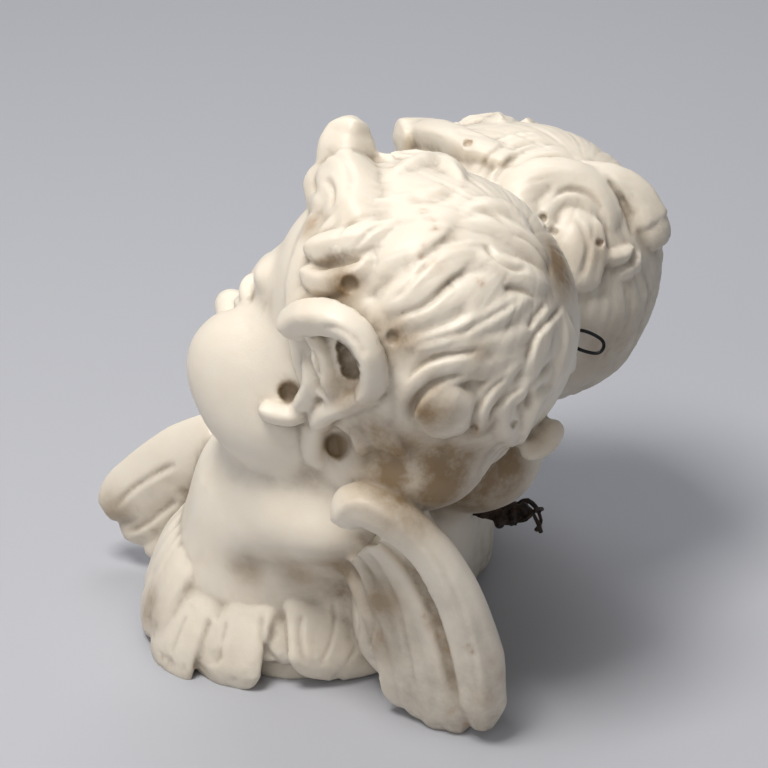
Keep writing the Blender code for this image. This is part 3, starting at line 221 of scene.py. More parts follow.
# Grooves cut along curves of the show side: width and depth in millimetres, then the height of
# the lip on the left of the way the chisel runs (below nought: on its right), then the curve.
grooves = [
    # the forelock and the temple
    (1.6, 1.2, 0.4, [(322, 178), (330, 184), (333, 196), (330, 210)]),
    (1.8, 0.8, 0.0, [(322, 150), (342, 158), (352, 176), (344, 200)]),
    (1.3, 0.7, 0.3, [(378, 214), (358, 220), (342, 230), (332, 240)]),
    (1.2, 0.6, 0.2, [(392, 222), (374, 228), (362, 240), (352, 250)]),
    (1.3, 1.8, 0.7, [(306, 262), (326, 266), (346, 263), (364, 258)]),
    # the crown
    (3.0, 1.3, 0.6, [(404, 196), (424, 199), (444, 196), (458, 186)]),
    (1.5, 0.8, 0.3, [(462, 204), (490, 214), (514, 228), (534, 240)]),
    (1.5, 1.4, 0.6, [(482, 243), (496, 258), (512, 268), (530, 270)]),
    (1.6, 1.3, 0.4, [(508, 232), (530, 240), (546, 258), (552, 280)]),
    (1.4, 1.0, 0.3, [(500, 288), (522, 290), (540, 300)]),
    # channels between the long strands
    (4.0, 1.3, 0.3, [(416, 258), (394, 272), (374, 292), (366, 306)]),
    (1.5, 1.2, 0.5, [(476, 266), (452, 280), (430, 302), (404, 314), (386, 318)]),
    (1.4, 0.8, 0.4, [(446, 250), (424, 266), (404, 290), (386, 304)]),
    (3.0, 1.5, 0.6, [(476, 302), (446, 322), (418, 332), (394, 338)]),
    (1.6, 1.1, 0.4, [(530, 292), (496, 314), (462, 332), (426, 342), (402, 352)]),
    (1.5, 1.8, 0.6, [(486, 350), (456, 354), (434, 358), (416, 368), (402, 384)]),
    (1.6, 1.8, 0.7, [(470, 374), (444, 380), (426, 389), (414, 404), (409, 424)]),
    (1.6, 1.6, 0.5, [(512, 374), (494, 388), (480, 404), (474, 424), (472, 440)]),
    (1.5, 1.2, 0.4, [(528, 384), (508, 396), (494, 410), (490, 424)]),
    (1.5, 1.3, 0.5, [(566, 300), (552, 318), (536, 334), (530, 352), (526, 372)]),
    (1.4, 1.0, 0.4, [(548, 300), (534, 318), (528, 332)]),
    (1.8, 1.4, 0.3, [(556, 356), (542, 376), (530, 394), (530, 416)]),
    # the great hook and the cheek hook
    (1.6, 1.0, 0.0, [(318, 326), (340, 330), (358, 342), (368, 360)]),
    (1.6, 1.8, 0.0, [(306, 346), (316, 360), (319, 384)]),
    # the far head's strands and swirl
    (1.3, 0.8, 0.3, [(474, 176), (490, 156), (510, 140)]),
    (1.3, 0.8, 0.3, [(486, 190), (504, 166), (530, 148), (562, 142)]),
    (1.4, 1.1, 0.4, [(552, 202), (560, 192), (578, 190), (596, 200), (604, 216)]),
    (1.3, 1.1, 0.4, [(536, 214), (546, 228), (560, 234)]),
    (1.5, 1.1, 0.4, [(572, 214), (584, 232), (588, 254), (580, 284)]),
    (1.5, 1.3, 0.5, [(604, 172), (618, 192), (628, 216), (634, 240)]),
    (1.3, 0.6, 0.2, [(646, 268), (650, 300), (638, 340), (620, 366)]),
    (1.3, 0.6, 0.2, [(624, 284), (628, 314), (614, 344), (596, 368)]),
    # the hollow under the breast
    (8.0, 2.0, 0.0, [(216, 586), (240, 570), (272, 566), (310, 568), (346, 568), (374, 580),
                     (388, 606)]),
    # the skirt
    (1.6, 1.2, 0.3, [(212, 612), (204, 638), (197, 662), (195, 678)]),
    (1.3, 0.6, 0.2, [(188, 612), (176, 640), (170, 660)]),
    (1.3, 0.6, 0.2, [(228, 616), (221, 644), (217, 668)]),
    (1.5, 1.1, 0.3, [(262, 610), (262, 632), (268, 652), (280, 664)]),
    (1.5, 1.0, 0.3, [(302, 610), (300, 634), (302, 654), (310, 668)]),
    (1.1, 0.7, 0.2, [(330, 596), (334, 622), (328, 650), (318, 670)]),
    (1.1, 0.7, 0.2, [(352, 596), (359, 622), (355, 648), (345, 668)]),
    (1.1, 0.6, 0.2, [(370, 606), (374, 628), (366, 654)]),
    # the near wing
    (2.4, 2.4, 0.6, [(340, 536), (362, 538), (384, 545), (404, 562), (424, 596), (440, 640), (452, 690),
                     (458, 722)]),
    (1.6, 0.7, 0.3, [(404, 522), (438, 560), (462, 612), (474, 664), (478, 716)]),
    (1.5, 0.8, 0.3, [(374, 566), (396, 600), (408, 650), (418, 700)]),
    # the middle wing
    (1.6, 1.5, 0.5, [(180, 462), (160, 471), (128, 492), (112, 512)]),
    (1.5, 1.2, 0.4, [(180, 497), (162, 511), (142, 526), (118, 536)]),
]

# Holes left by the drill: place in show units, radius and depth in millimetres.
drillHoles = [
    (345, 347, 3.6, 9), (349, 357, 4.6, 10), (351, 369, 4.0, 9), (337, 446, 5.0, 7),
    (468, 143, 2.0, 2.5),
    (515, 424, 1.8, 3), (600, 243, 1.6, 2.5), (350, 285, 3.4, 3), (289, 392, 4.2, 6),
    (474, 428, 1.6, 2.5),
    (392, 338, 2.6, 2), (543, 218, 1.8, 2),
]


def headMatrix(head):
    lean = Euler((math.radians(-head["lean"]), 0, 0)).to_matrix()
    turn = Euler((0, 0, math.radians(-head["turn"]))).to_matrix()
    return Matrix.Translation(Vector(head["centre"])) @ (lean @ turn).to_4x4()


def asArray(matrix):
    return np.array(matrix, float)


def moved(points, matrix):
    m = asArray(matrix)
    return points @ m[:3, :3].T + m[:3, 3]


def showDirection():
    rise = math.radians(showView["rise"])
    return np.array([math.cos(rise), 0, math.sin(rise)])


def sight(x, y):
    # The line of sight through a point of the show square: its eye and its direction.
    towards = showDirection()
    up = np.array([-towards[2], 0, towards[0]])
    eye = np.array(showView["target"]) + towards * showView["distance"]
    middle = showView["middle"]
    along = np.array([0, 1, 0]) * (x - middle) + up * (middle - y) - towards * showView["units"]
    return eye, along / np.linalg.norm(along)


def seenAt(x, y, depth):
    # The point with this X that the show side has at x, y.
    eye, along = sight(x, y)
    return eye + along * (depth - eye[0]) / along[0]


class Clay:
    # Closed shapes that overlap, to be fused into one skin.
    def __init__(self):
        self.points = []
        self.faces = []
        self.count = 0

    def add(self, points, faces):
        self.points.append(np.asarray(points, float))
        self.faces.extend((np.asarray(f) + self.count).tolist() for f in faces)
        self.count += len(points)

    def addBall(self, centre, radii, matrix=None):
        points = ball[0] * np.array(radii) + np.array(centre)
        self.add(points if matrix is None else moved(points, matrix), ball[1])

    def addMesh(self, mesh):
        self.add(pointsOf(mesh), [list(p.vertices) for p in mesh.polygons])

    def mesh(self, name):
        made = bpy.data.meshes.new(name)
        made.from_pydata(np.concatenate(self.points).tolist(), [], self.faces)
        made.update()
        return made


def unitBall():
    bm = bmesh.new()
    bmesh.ops.create_icosphere(bm, subdivisions=4, radius=1)
    points = np.array([v.co[:] for v in bm.verts])
    faces = [[v.index for v in f.verts] for f in bm.faces]
    bm.free()
    return points, faces


ball = unitBall()


# Blended forms. Each is a signed distance, and each runs softly into what came before it.


def ellipsoidDistance(points, centre, radii):
    p = points - np.array(centre, float)
    r = np.array(radii, float)
    k0 = np.linalg.norm(p / r, axis=1)
    k1 = np.linalg.norm(p / (r * r), axis=1) + 1e-9
    return k0 * (k0 - 1) / k1


def coneDistance(points, start, end, startRadius, endRadius):
    a, b = np.array(start, float), np.array(end, float)
    along = np.clip((points - a) @ (b - a) / ((b - a) @ (b - a)), 0, 1)
    nearest = a + along[:, None] * (b - a)
    return np.linalg.norm(points - nearest, axis=1) - (startRadius + along * (endRadius - startRadius))


def blended(a, b, softness):
    if softness <= 0:
        return np.minimum(a, b)
    h = np.clip(0.5 + 0.5 * (a - b) / softness, 0, 1)
    return a + (b - a) * h - softness * h * (1 - h)


def hollowed(a, b, softness):
    return -blended(-a, b, softness)


def capHeight(points):
    # How far the cap of hair stands off the bare head, for points of the head's own space.
    lon = np.degrees(np.arctan2(np.abs(points[:, 0]), -points[:, 1]))
    lat = np.degrees(np.arcsin(np.clip(points[:, 2] / (np.linalg.norm(points, axis=1) + 1e-9), -1, 1)))
    rise = np.clip((lat - np.interp(lon, *hairline)) / hairCap["edge"], 0, 1)
    return hairCap["height"] * rise * rise * (3 - 2 * rise)


def mirroredForms(forms):
    for name, centre, radii, softness in forms:
        yield name, centre, radii, softness
        if centre[0]:
            yield name, (-centre[0], centre[1], centre[2]), radii, softness


def formDistance(points, forms):
    distance = None
    for _, centre, radii, softness in forms:
        d = ellipsoidDistance(points, centre, radii)
        distance = d if distance is None else blended(distance, d, softness)
    return distance


def headDistance(points, withEyes=True):
    distance = formDistance(points, mirroredForms(headForms))
    if withEyes:
        for (centre, radii, softness), joined in ((eyeSocket, hollowed), (eyeball, blended)):
            for side in (1, -1):
                d = ellipsoidDistance(points, (centre[0] * side, *centre[1:]), radii)
                distance = joined(distance, d, softness)
    return distance


def bodyDistance(points):
    distance = formDistance(points, bodyForms)
    for _, start, end, startRadius, endRadius, softness in necks:
        d = coneDistance(points, start, end, startRadius, endRadius)
        distance = blended(distance, d, softness)
    return distance


def skinDistance(points):
    distance = bodyDistance(points)
    for skirt in (nearSkirt, farSkirt):
        distance = blended(distance, skirtBody(points, skirt), joinSoftness["skirt"])
    for head in (nearHead, farHead):
        local = moved(points, headMatrix(head).inverted())
        distance = blended(distance, headDistance(local) - capHeight(local), joinSoftness["head"])
    return distance


def skirtBody(points, skirt):
    side = (skirtDepth(skirt, points, "body") - 1) * min(skirt["half"]) * 0.8
    return np.maximum(side, points[:, 2] - skirt["heights"][-1])


def addHeadForms(clay, matrix):
    for _, centre, radii, _ in mirroredForms(headForms):
        clay.addBall(centre, radii, matrix)


def addBodyForms(clay):
    for _, centre, radii, _ in bodyForms:
        clay.addBall(centre, radii)
    for skirt in (nearSkirt, farSkirt):
        addSkirtBody(clay, skirt)
    for _, start, end, startRadius, endRadius, _ in necks:
        for along in np.linspace(0, 1, 6):
            radius = startRadius + (endRadius - startRadius) * along
            clay.addBall(np.array(start) * (1 - along) + np.array(end) * along,
                         (radius, radius, radius))


def addSkirtBody(clay, skirt, sides=48):
    heights = (-6, *skirt["heights"][1:])
    rings = len(heights)
    points = [
        (*planPoint(skirt, 360 * i / sides, share), z)
        for z, share in zip(heights, skirt["body"]) for i in range(sides)
    ]
    faces = [list(range(sides)), [(rings - 1) * sides + i for i in range(sides - 1, -1, -1)]]
    for k in range(rings - 1):
        for i in range(sides):
            j = (i + 1) % sides
            faces.append([k * sides + j, k * sides + i, (k + 1) * sides + i, (k + 1) * sides + j])
    clay.add(points, faces)


def throughModifiers(mesh, *steps):
    # The mesh as Blender's modifiers leave it. Each step is a modifier type and its settings.
    obj = bpy.data.objects.new("clay", mesh)
    bpy.context.scene.collection.objects.link(obj)
    for kind, settings in steps:
        modifier = obj.modifiers.new(kind, kind)
        for name, value in settings.items():
            setattr(modifier, name, value)
    graph = bpy.context.evaluated_depsgraph_get()
    graph.update()
    made = bpy.data.meshes.new_from_object(obj.evaluated_get(graph))
    bpy.data.objects.remove(obj)
    bpy.data.meshes.remove(mesh)
    return made


def fused(mesh, voxel, smoothing=0):
    steps = [("REMESH", {"mode": "VOXEL", "voxel_size": voxel, "adaptivity": 0})]
    if smoothing:
        steps.append(("SMOOTH", {"factor": 0.5, "iterations": smoothing}))
    return throughModifiers(mesh, *steps)


def pointsOf(mesh):
    points = np.empty(len(mesh.vertices) * 3, np.float32)
    mesh.vertices.foreach_get("co", points)
    return points.reshape(-1, 3).astype(float)


def normalsOf(mesh):
    normals = np.empty(len(mesh.vertices) * 3, np.float32)
    mesh.vertex_normals.foreach_get("vector", normals)
    return normals.reshape(-1, 3).astype(float)


def setPoints(mesh, points):
    mesh.vertices.foreach_set("co", points.astype(np.float32).ravel())
    mesh.update()


def drawnTo(mesh, distance, rounds=4):
    # Slides every vertex along its normal on to the surface where the distance is nought.
    for _ in range(rounds):
        points = pointsOf(mesh)
        step = np.clip(distance(points), -4, 4)
        setPoints(mesh, points - normalsOf(mesh) * step[:, None])
    return mesh


# Swept shapes: locks, curls, feathers and wires.


def curveThrough(points, count):
    # A smooth curve through the points, evenly spaced along its length.
    p = np.asarray(points, float)
    p = np.concatenate([[2 * p[0] - p[1]], p, [2 * p[-1] - p[-2]]])
    fine = []
    for i in range(1, len(p) - 2):
        for t in np.linspace(0, 1, 20, endpoint=False):
            a, b, c, d = p[i - 1], p[i], p[i + 1], p[i + 2]
            bend = (2 * a - 5 * b + 4 * c - d) * t * t + (3 * b - a - 3 * c + d) * t ** 3
            fine.append(0.5 * (2 * b + (c - a) * t + bend))
    fine.append(p[-2])
    fine = np.array(fine)
    length = np.concatenate([[0], np.cumsum(np.linalg.norm(np.diff(fine, axis=0), axis=1))])
    spaced = np.linspace(0, length[-1], count)
    return np.stack([np.interp(spaced, length, fine[:, k]) for k in range(fine.shape[1])], axis=1)


def unit(vectors):
    v = np.asarray(vectors, float)
    return v / (np.linalg.norm(v, axis=-1, keepdims=True) + 1e-12)


def swept(path, normals, widths, heights, ridges=0, ridgeDepth=0.0, sides=24, drift=0.0):
    # A closed bar along the path, wide across it and raised along the normals, with ridges on top.
    path = np.asarray(path, float)
    tangents = unit(np.gradient(path, axis=0))
    across = unit(np.cross(tangents, normals))
    out = unit(np.cross(across, tangents))
    angles = np.linspace(0, 2 * math.pi, sides, endpoint=False)
    side, rise = np.cos(angles), np.sin(angles)
    rise = np.repeat(np.where(rise < 0, rise * 0.7, rise)[None, :], len(path), axis=0)
    if ridges:
        wander = drift * np.sin(np.linspace(0, 4.5, len(path)) + 9 * drift)
        wave = np.cos(math.pi * ridges * (side[None, :] + wander[:, None]))
        rise = np.where(rise > 0, rise * (1 - ridgeDepth * (0.5 - 0.5 * wave)), rise)
    widths = np.broadcast_to(widths, len(path))
    heights = np.broadcast_to(heights, len(path))
    rings = (
        path[:, None, :]
        + across[:, None, :] * side[None, :, None] * (widths / 2)[:, None, None]
        + out[:, None, :] * rise[:, :, None] * (heights / 2)[:, None, None]
    )
    count = len(path)
    points = rings.reshape(-1, 3)
    faces = []
    for i in range(count - 1):
        for j in range(sides):
            k = (j + 1) % sides
            faces.append([(i + 1) * sides + j, (i + 1) * sides + k, i * sides + k, i * sides + j])
    faces.append(list(range(sides)))
    faces.append([(count - 1) * sides + j for j in range(sides - 1, -1, -1)])
    return points, faces


def tapered(count, start=0.5, end=0.35, fullFrom=0.25, roundFrom=0.8):
    # Widths along a lock or a feather, from its root to its rounded tip, as shares of the full width.
    s = np.linspace(0, 1, count)
    root = start + (1 - start) * np.clip(s / fullFrom, 0, 1)
    fall = np.clip((s - roundFrom) / (1 - roundFrom), 0, 1)
    return root * np.maximum(np.sqrt(np.clip(1 - fall * fall, 0, 1)), 0.12) * (1 - (1 - end) * s * 0.6)


# The heads' hair.


class Scalp:
    # The bare head, on which hair is laid, by direction from its middle or as the show side has it.
    def __init__(self, head):
        clay = Clay()
        addHeadForms(clay, Matrix.Identity(4))
        skin = drawnTo(fused(clay.mesh("scalp"), 3.5, 6),
                       lambda p: headDistance(p, withEyes=False) - capHeight(p))
        skin.transform(headMatrix(head))
        self.middle = np.array(head["centre"], float)
        self.turn = asArray(headMatrix(head))[:3, :3]
        self.tree = treeOf(skin)
        bpy.data.meshes.remove(skin)

    def along(self, direction):
        # Where a line from the head's middle comes out, and the way that the surface faces there.
        d = self.turn @ direction
        hit, normal, _, _ = self.tree.ray_cast(Vector(self.middle + d * 300), Vector(-d))
        return np.array(hit), unit(np.array(normal) * 0.5 + d * 0.5)

    def shown(self, x, y):
        # The same for a point of the show square. Beside the head, it is level with the nearest scalp.
        eye, along = sight(x, y)
        hit, normal, _, _ = self.tree.ray_cast(Vector(eye), Vector(along))
        if hit is None:
            near = eye + along * ((self.middle - eye) @ along)
            for _ in range(3):
                beside, normal, _, _ = self.tree.find_nearest(Vector(near))
                near = eye + along * ((np.array(beside) - eye) @ along)
            return near, unit(np.array(normal))
        return np.array(hit), np.array(normal)

    def lay(self, found, lifts):
        points = np.array([p for p, _ in found])
        normals = unit(np.array([n for _, n in found]))
        return points + normals * np.asarray(lifts, float)[:, None], normals


def direction(longitude, latitude):
    lon, lat = np.radians(longitude), np.radians(latitude)
    return np.stack(
        [np.sin(lon) * np.cos(lat), -np.cos(lon) * np.cos(lat), np.sin(lat) + 0 * lon], axis=-1
    )


def onScalp(d, margin=0.0):
    lon = math.degrees(math.atan2(d[0], -d[1]))
    lat = math.degrees(math.asin(max(-1, min(1, d[2]))))
    return lat > np.interp(abs(lon), *hairline) + margin


def turnedAbout(v, axis, angle):
    along = axis * (axis @ v) * (1 - math.cos(angle))
    return v * math.cos(angle) + np.cross(axis, v) * math.sin(angle) + along


# How a hidden lock is walked out over the scalp, in millimetres: each step, the length of a wave,
# and the scalp's radius.
walkPlan = {"stride": 2.2, "wave": 46, "radius": 66}


def lockRun(start, whorl, length, wave, phase, hook, sweep):
    # Walks over the scalp away from the whorl, in waves, and hooks round at the end.
    stride = walkPlan["stride"]
    count = max(8, int(length / stride))
    d = unit(np.array(start, float))
    walked = [d]
    for i in range(count):
        away = unit(-(np.array(whorl) - (np.array(whorl) @ d) * d))
        bend = sweep + wave * math.sin(phase + 2 * math.pi * i * stride / walkPlan["wave"])
        bend += hook * max(0.0, (i / count - 0.5) / 0.5) ** 2
        d = unit(d + turnedAbout(away, d, bend) * stride / walkPlan["radius"])
        walked.append(d)
    return np.array(walked)


def addLock(clay, scalp, found, lifts, width, height, ridges, depth, start, end, tip, lean=0.0):
    path, normals = scalp.lay(found, lifts)
    across = unit(np.cross(np.gradient(path, axis=0), normals))
    normals = unit(normals + across * math.tan(math.radians(lean)))
    shape = tapered(len(path), start, end, 0.3, tip)
    clay.add(*swept(path, normals, width * shape, height * np.sqrt(shape), ridges, depth,
                    marbleMaking["curlSides"], 0.12 * math.sin(width + 3 * len(path))))


def addShownHair(clay, scalp, locks, lumps):
    for kind, width, height, ridges, run in locks:
        run = curveThrough(run, 12 + 5 * len(run))
        start, end, tip, sink, lean, toShow = lockKinds[kind]
        found = [scalp.shown(x, y) for x, y, _ in run]
        if toShow:
            found = [(at + normal * lift, showDirection()) for (at, normal),
                     lift in zip(found, run[:, 2])]
            run[:, 2] = 0
        addLock(clay, scalp, found, run[:, 2] - sink, width, height, ridges, 0.3, start, end, tip, lean)
    for radii, (x, y, lift) in lumps:
        point, normal = scalp.shown(x, y)
        turned = Vector(normal).to_track_quat("Z", "Y").to_matrix().to_4x4()
        clay.addBall((0, 0, lift), radii, Matrix.Translation(Vector(point)) @ turned)


# The locks that the show view leaves out: how far apart they start, and how far they reach into
# what the show view has.
hiddenHair = {"spacing": 19, "shownTo": 0.12, "fringe": np.arange(-112, -5, 17)}


def addFlowingHair(clay, scalp, head):
    # Plainer locks on the sides that the show view leaves out, from the crown to the hairline.
    draw = np.random.default_rng(head["seed"])
    whorl = direction(*head["whorl"])
    shown = scalp.turn.T @ showDirection()
    total = int(4 * math.pi * walkPlan["radius"] ** 2 / hiddenHair["spacing"] ** 2)
    golden = math.pi * (3 - math.sqrt(5))
    for i in range(total):
        z = 1 - 2 * (i + 0.5) / total
        r = math.sqrt(1 - z * z)
        d = np.array([math.cos(golden * i) * r, math.sin(golden * i) * r, z])
        wave, phase = draw.uniform(0.2, 0.5), draw.uniform(0, 2 * math.pi)
        hook, sweep = draw.choice([-1, 1]) * draw.uniform(0.6, 2.2), draw.uniform(-0.3, 0.3)
        length, width = draw.uniform(44, 60), draw.uniform(15, 20)
        lift = draw.uniform(-1.6, 0.6)
        if not onScalp(d, 4) or d @ shown > hiddenHair["shownTo"]:
            continue
        walked = lockRun(d, whorl, length, wave, phase, hook, sweep)
        inside = [k for k, w in enumerate(walked) if onScalp(w, -4)]
        walked = walked[: max(inside) + 1]
        if len(walked) >= 8:
            s = np.linspace(0, 1, len(walked))
            lifts = lift - 2 * (1 - np.clip(s / 0.2, 0, 1)) + 2.5 * np.clip((s - 0.6) / 0.4, 0, 1) ** 2
            found = [scalp.along(w) for w in walked]
            addLock(clay, scalp, found, lifts, width, 12, 2, 0.4, 0.4, 0.55, 0.75)


def addFringe(clay, scalp):
    # Rows of short curls above the forehead and the temple that the show view leaves out.
    shown = scalp.turn.T @ showDirection()
    t = np.linspace(0, 1, 16)
    bend = np.clip((t - 0.4) / 0.6, 0, 1) ** 2
    for row, rise in enumerate((36, 18, 0)):
        for i, lon in enumerate(hiddenHair["fringe"]):
            lon = lon + 8 * (row % 2)
            low = np.interp(abs(lon), *hairline) + rise
            side = 1 if (i + row) % 2 else -1
            lat = low + 20 - 25 * t + 6 * bend
            d = direction(lon + side * (30 * bend - 8 * t), lat)
            if low > 62 or d.mean(axis=0) @ shown > hiddenHair["shownTo"]:
                continue
            found = [scalp.along(w) for w in d]
            addLock(clay, scalp, found, -2.2 + 2.6 * t, 15, 13, 2, 0.35, 0.6, 0.95, 0.7)


# Feathers and wings.


def addFeather(clay, run, facing, width, thickness, ridges=3, depth=0.25, start=0.7, end=0.9,
               tip=0.72, count=26):
    path = curveThrough(run, count)
    normals = np.broadcast_to(np.array(facing, float), path.shape)
    shape = tapered(count, start, end, 0.3, tip)
    clay.add(*swept(path, normals, width * shape, thickness * np.sqrt(shape), ridges, depth, 32))


def planPoint(skirt, angle, share):
    # A point on the skirt's rounded rectangle: angle 0 is +X, 90 is -Y.
    c, s = math.cos(math.radians(angle)), math.sin(math.radians(angle))
    power = 2 / 2.6
    x = math.copysign(abs(c) ** power, c) * skirt["half"][0] * share
    y = -math.copysign(abs(s) ** power, s) * skirt["half"][1] * share
    return skirt["centre"][0] + x, skirt["centre"][1] + y


def skirtDepth(skirt, points, profile="shares"):
    # Under 1 inside the skirt's profile.
    gap = np.abs(points[:, :2] - np.array(skirt["centre"])) / np.array(skirt["half"])
    out = (gap ** 2.6).sum(axis=1) ** (1 / 2.6)
    return out / np.interp(points[:, 2], skirt["heights"], skirt[profile])


def shownOnSkirt(skirt, x, y, lift):
    eye, along = sight(x, y)
    points = eye + along * np.linspace(1340, 1640, 900)[:, None]
    inside = np.flatnonzero(skirtDepth(skirt, points) < 1)
    point = points[inside[0]] if len(inside) else points[np.argmin(skirtDepth(skirt, points))]
    outward = unit(np.append(point[:2] - np.array(skirt["centre"]), 14.0))
    return point + outward * lift, outward


def addSkirt(clay, skirt):
    first, last, count = skirt["hidden"]
    for i, angle in enumerate(np.linspace(first, last, count)):
        heights = [skirt["heights"][k] for k in (4, 3, 2, 0)]
        heights[-1] += 3 if i % 2 else 0
        shares = [skirt["shares"][k] for k in (4, 3, 2, 0)]
        shares[0] -= 0.1  # the root starts under the skirt's body
        run = [(*planPoint(skirt, angle, share), z) for share, z in zip(shares, heights)]
        outward = np.array([*planPoint(skirt, angle, 2), 0]) - np.array([*planPoint(skirt, angle, 1),
                                                                         0])
        facing = unit(outward) + np.array([0, 0, 0.35])
        addFeather(clay, run, facing, skirt["width"], skirt["depth"], 4, 0.16, 0.6, 1.0, 0.7)


def addBreastFeathers(clay):
    for width, thickness, ridges, run in breastFeathers:
        run = curveThrough(run, 30)
        found = [shownOnSkirt(nearSkirt, *spot) for spot in run]
        path, normals = np.array([f[0] for f in found]), np.array([f[1] for f in found])
        shape = tapered(len(path), 0.85, 1.0, 0.25, 0.78)
        clay.add(*swept(path, normals, width * shape, thickness * np.sqrt(shape), ridges, 0.14, 36,
                        0.05))


nearWing = {
    # the thick leading edge, then the feathers under it from the outermost inwards: width,
    # thickness, ridges, and the run in show units with its X
    "edge": ((343, 512, -15), (362, 504, -9), (396, 520, -4), (432, 555, -1), (460, 602, 1),
             (477, 652, 2),
             (483, 694, 2), (482, 726, 0)),
    "feathers": [
        (20, 15, 1, ((378, 536, -13), (406, 568, -9), (430, 612, -6), (446, 662, -4), (454, 704, -4),
                     (458, 730, -6))),
        (19, 14, 1, ((366, 544, -18), (392, 574, -13), (413, 616, -9), (428, 664, -7), (437, 702, -7),
                     (441, 728, -9))),
        (18, 13, 1, ((357, 553, -23), (381, 582, -17), (401, 620, -13), (413, 662, -11),
                     (420, 694, -12),
                     (424, 716, -14))),
        (18, 12, 1, ((350, 562, -29), (373, 594, -22), (389, 628, -18), (397, 662, -16),
                     (402, 688, -17),
                     (404, 704, -19))),
    ],
}


def addNearWing(clay):
    # The left wing of the near cherub: a thick leading edge that arches back, and feathers under it.
    side = (1, 0.1, 0.45)
    path = curveThrough([seenAt(*p) for p in nearWing["edge"]], 60)
    normals = np.broadcast_to(np.array(side, float), path.shape)
    s = np.linspace(0, 1, len(path))
    full = np.interp(s, (0, 0.05, 0.16, 0.9, 1), (0.7, 0.98, 1, 1, 0.5))
    wide = np.interp(s, (0, 0.3, 0.75, 1), (19, 19, 22, 19))
    clay.add(*swept(path, normals, wide * full, (25 - 8 * s) * full, 2, 0.1, 40, 0.25))
    for width, thickness, ridges, run in nearWing["feathers"]:
        addFeather(clay, [seenAt(*p) for p in run], (1, -0.05, 0.3), width, thickness, ridges, 0.2,
                   0.7, 1.0, 0.84, 40)


def addMiddleWing(clay):
    # The right wing of the near cherub, reaching forwards and down.
    runs = [
        [(222, 436, -122), (172, 462, -134), (124, 500, -142), (112, 518, -143)],
        [(224, 462, -122), (182, 488, -134), (142, 522, -140), (126, 538, -140)],
        [(224, 492, -122), (198, 512, -132), (168, 538, -136), (148, 553, -137)],
    ]
    for i, run in enumerate(runs):
        addFeather(clay, [seenAt(*p) for p in run], (1, -0.1, 0.6), 29 - 2 * i, 14, 1, 0.14,
                   0.85, 0.98, 0.76, 36)


def addFarWing(clay):
    # The right wing of the far cherub, on the side away from +X.
    shoulder = np.array([-184, -10, 80])
    tips = [(-206, 16, 4), (-208, 8, 2), (-208, -4, 3), (-206, -16, 8), (-202, -26, 16)]
    for i, tip in enumerate(tips):
        tip = np.array(tip, float)
        root = shoulder + np.array([0, -2 * i, -4 * i])
        middle = root * 0.5 + tip * 0.5 + np.array([-6, 6 - i, 8 - i])
        addFeather(clay, [root, middle, tip], (-1, 0, 0.3), 22, 18, 2, 0.25, 0.8, 0.9, 0.8)
    edge = [(-172, -12, 78), (-190, -4, 86), (-200, 8, 70), (-206, 16, 40), (-206, 18, 8)]
    path = curveThrough(edge, 24)
    normals = np.broadcast_to(np.array((-1, 0.3, 0.4), float), path.shape)
    s = np.linspace(0, 1, 24)
    clay.add(*swept(path, normals, 26 - 8 * s, 24 - 10 * s, 3, 0.18, 32))


def marbleMesh(skinVoxel, carvingVoxel):
    # The whole group as one fused mesh, in millimetres.
    clay = Clay()
    addBodyForms(clay)
    for head in (nearHead, farHead):
        addHeadForms(clay, headMatrix(head))
    skin = drawnTo(fused(clay.mesh("skin"), skinVoxel, 4), skinDistance)
    carving = Clay()
    carving.addMesh(skin)
    bpy.data.meshes.remove(skin)
    near, far = Scalp(nearHead), Scalp(farHead)
    addShownHair(carving, near, nearLocks, nearLumps)
    addShownHair(carving, far, farLocks, farLumps)
    addFlowingHair(carving, near, nearHead)
    addFlowingHair(carving, far, farHead)
    addFringe(carving, near)
    addFringe(carving, far)
    addSkirt(carving, nearSkirt)
    addSkirt(carving, farSkirt)
    addBreastFeathers(carving)
    addNearWing(carving)
    addMiddleWing(carving)
    addFarWing(carving)
    return fused(carving.mesh("carving"), carvingVoxel, marbleMaking["smoothing"])


# The iron and the wire.


def bar(start, end, size, grow=0.0, reach=0.0):
    # A squared bar between two points, the second size across it and the first from side to side.
    start, end = np.array(start, float), np.array(end, float)
    along = unit(end - start)
    side = unit(np.cross(along, (1, 0, 0) if abs(along[2]) > 0.9 else (0, 0, 1)))
    up = np.cross(side, along)
    start, end = start - along * grow, end + along * (grow + reach)
    width, height = size[0] / 2 + grow, size[1] / 2 + grow
    corners = [(1, 1), (-1, 1), (-1, -1), (1, -1)]
    points = [at + side * x * width + up * y * height for at in (start, end) for x, y in corners]
    faces = [[3, 2, 1, 0], [4, 5, 6, 7]] + [[i, (i + 1) % 4, (i + 1) % 4 + 4, i + 4] for i in range(4)]
    return np.array(points), faces


def addWire(clay, run, width, count=60, sides=16):
    path = curveThrough(run, count)
    tangents = unit(np.gradient(path, axis=0))
    normals = unit(np.cross(tangents, (0.3, 0.2, 1)))
    clay.add(*swept(path, normals, width, width / 0.85, sides=sides))


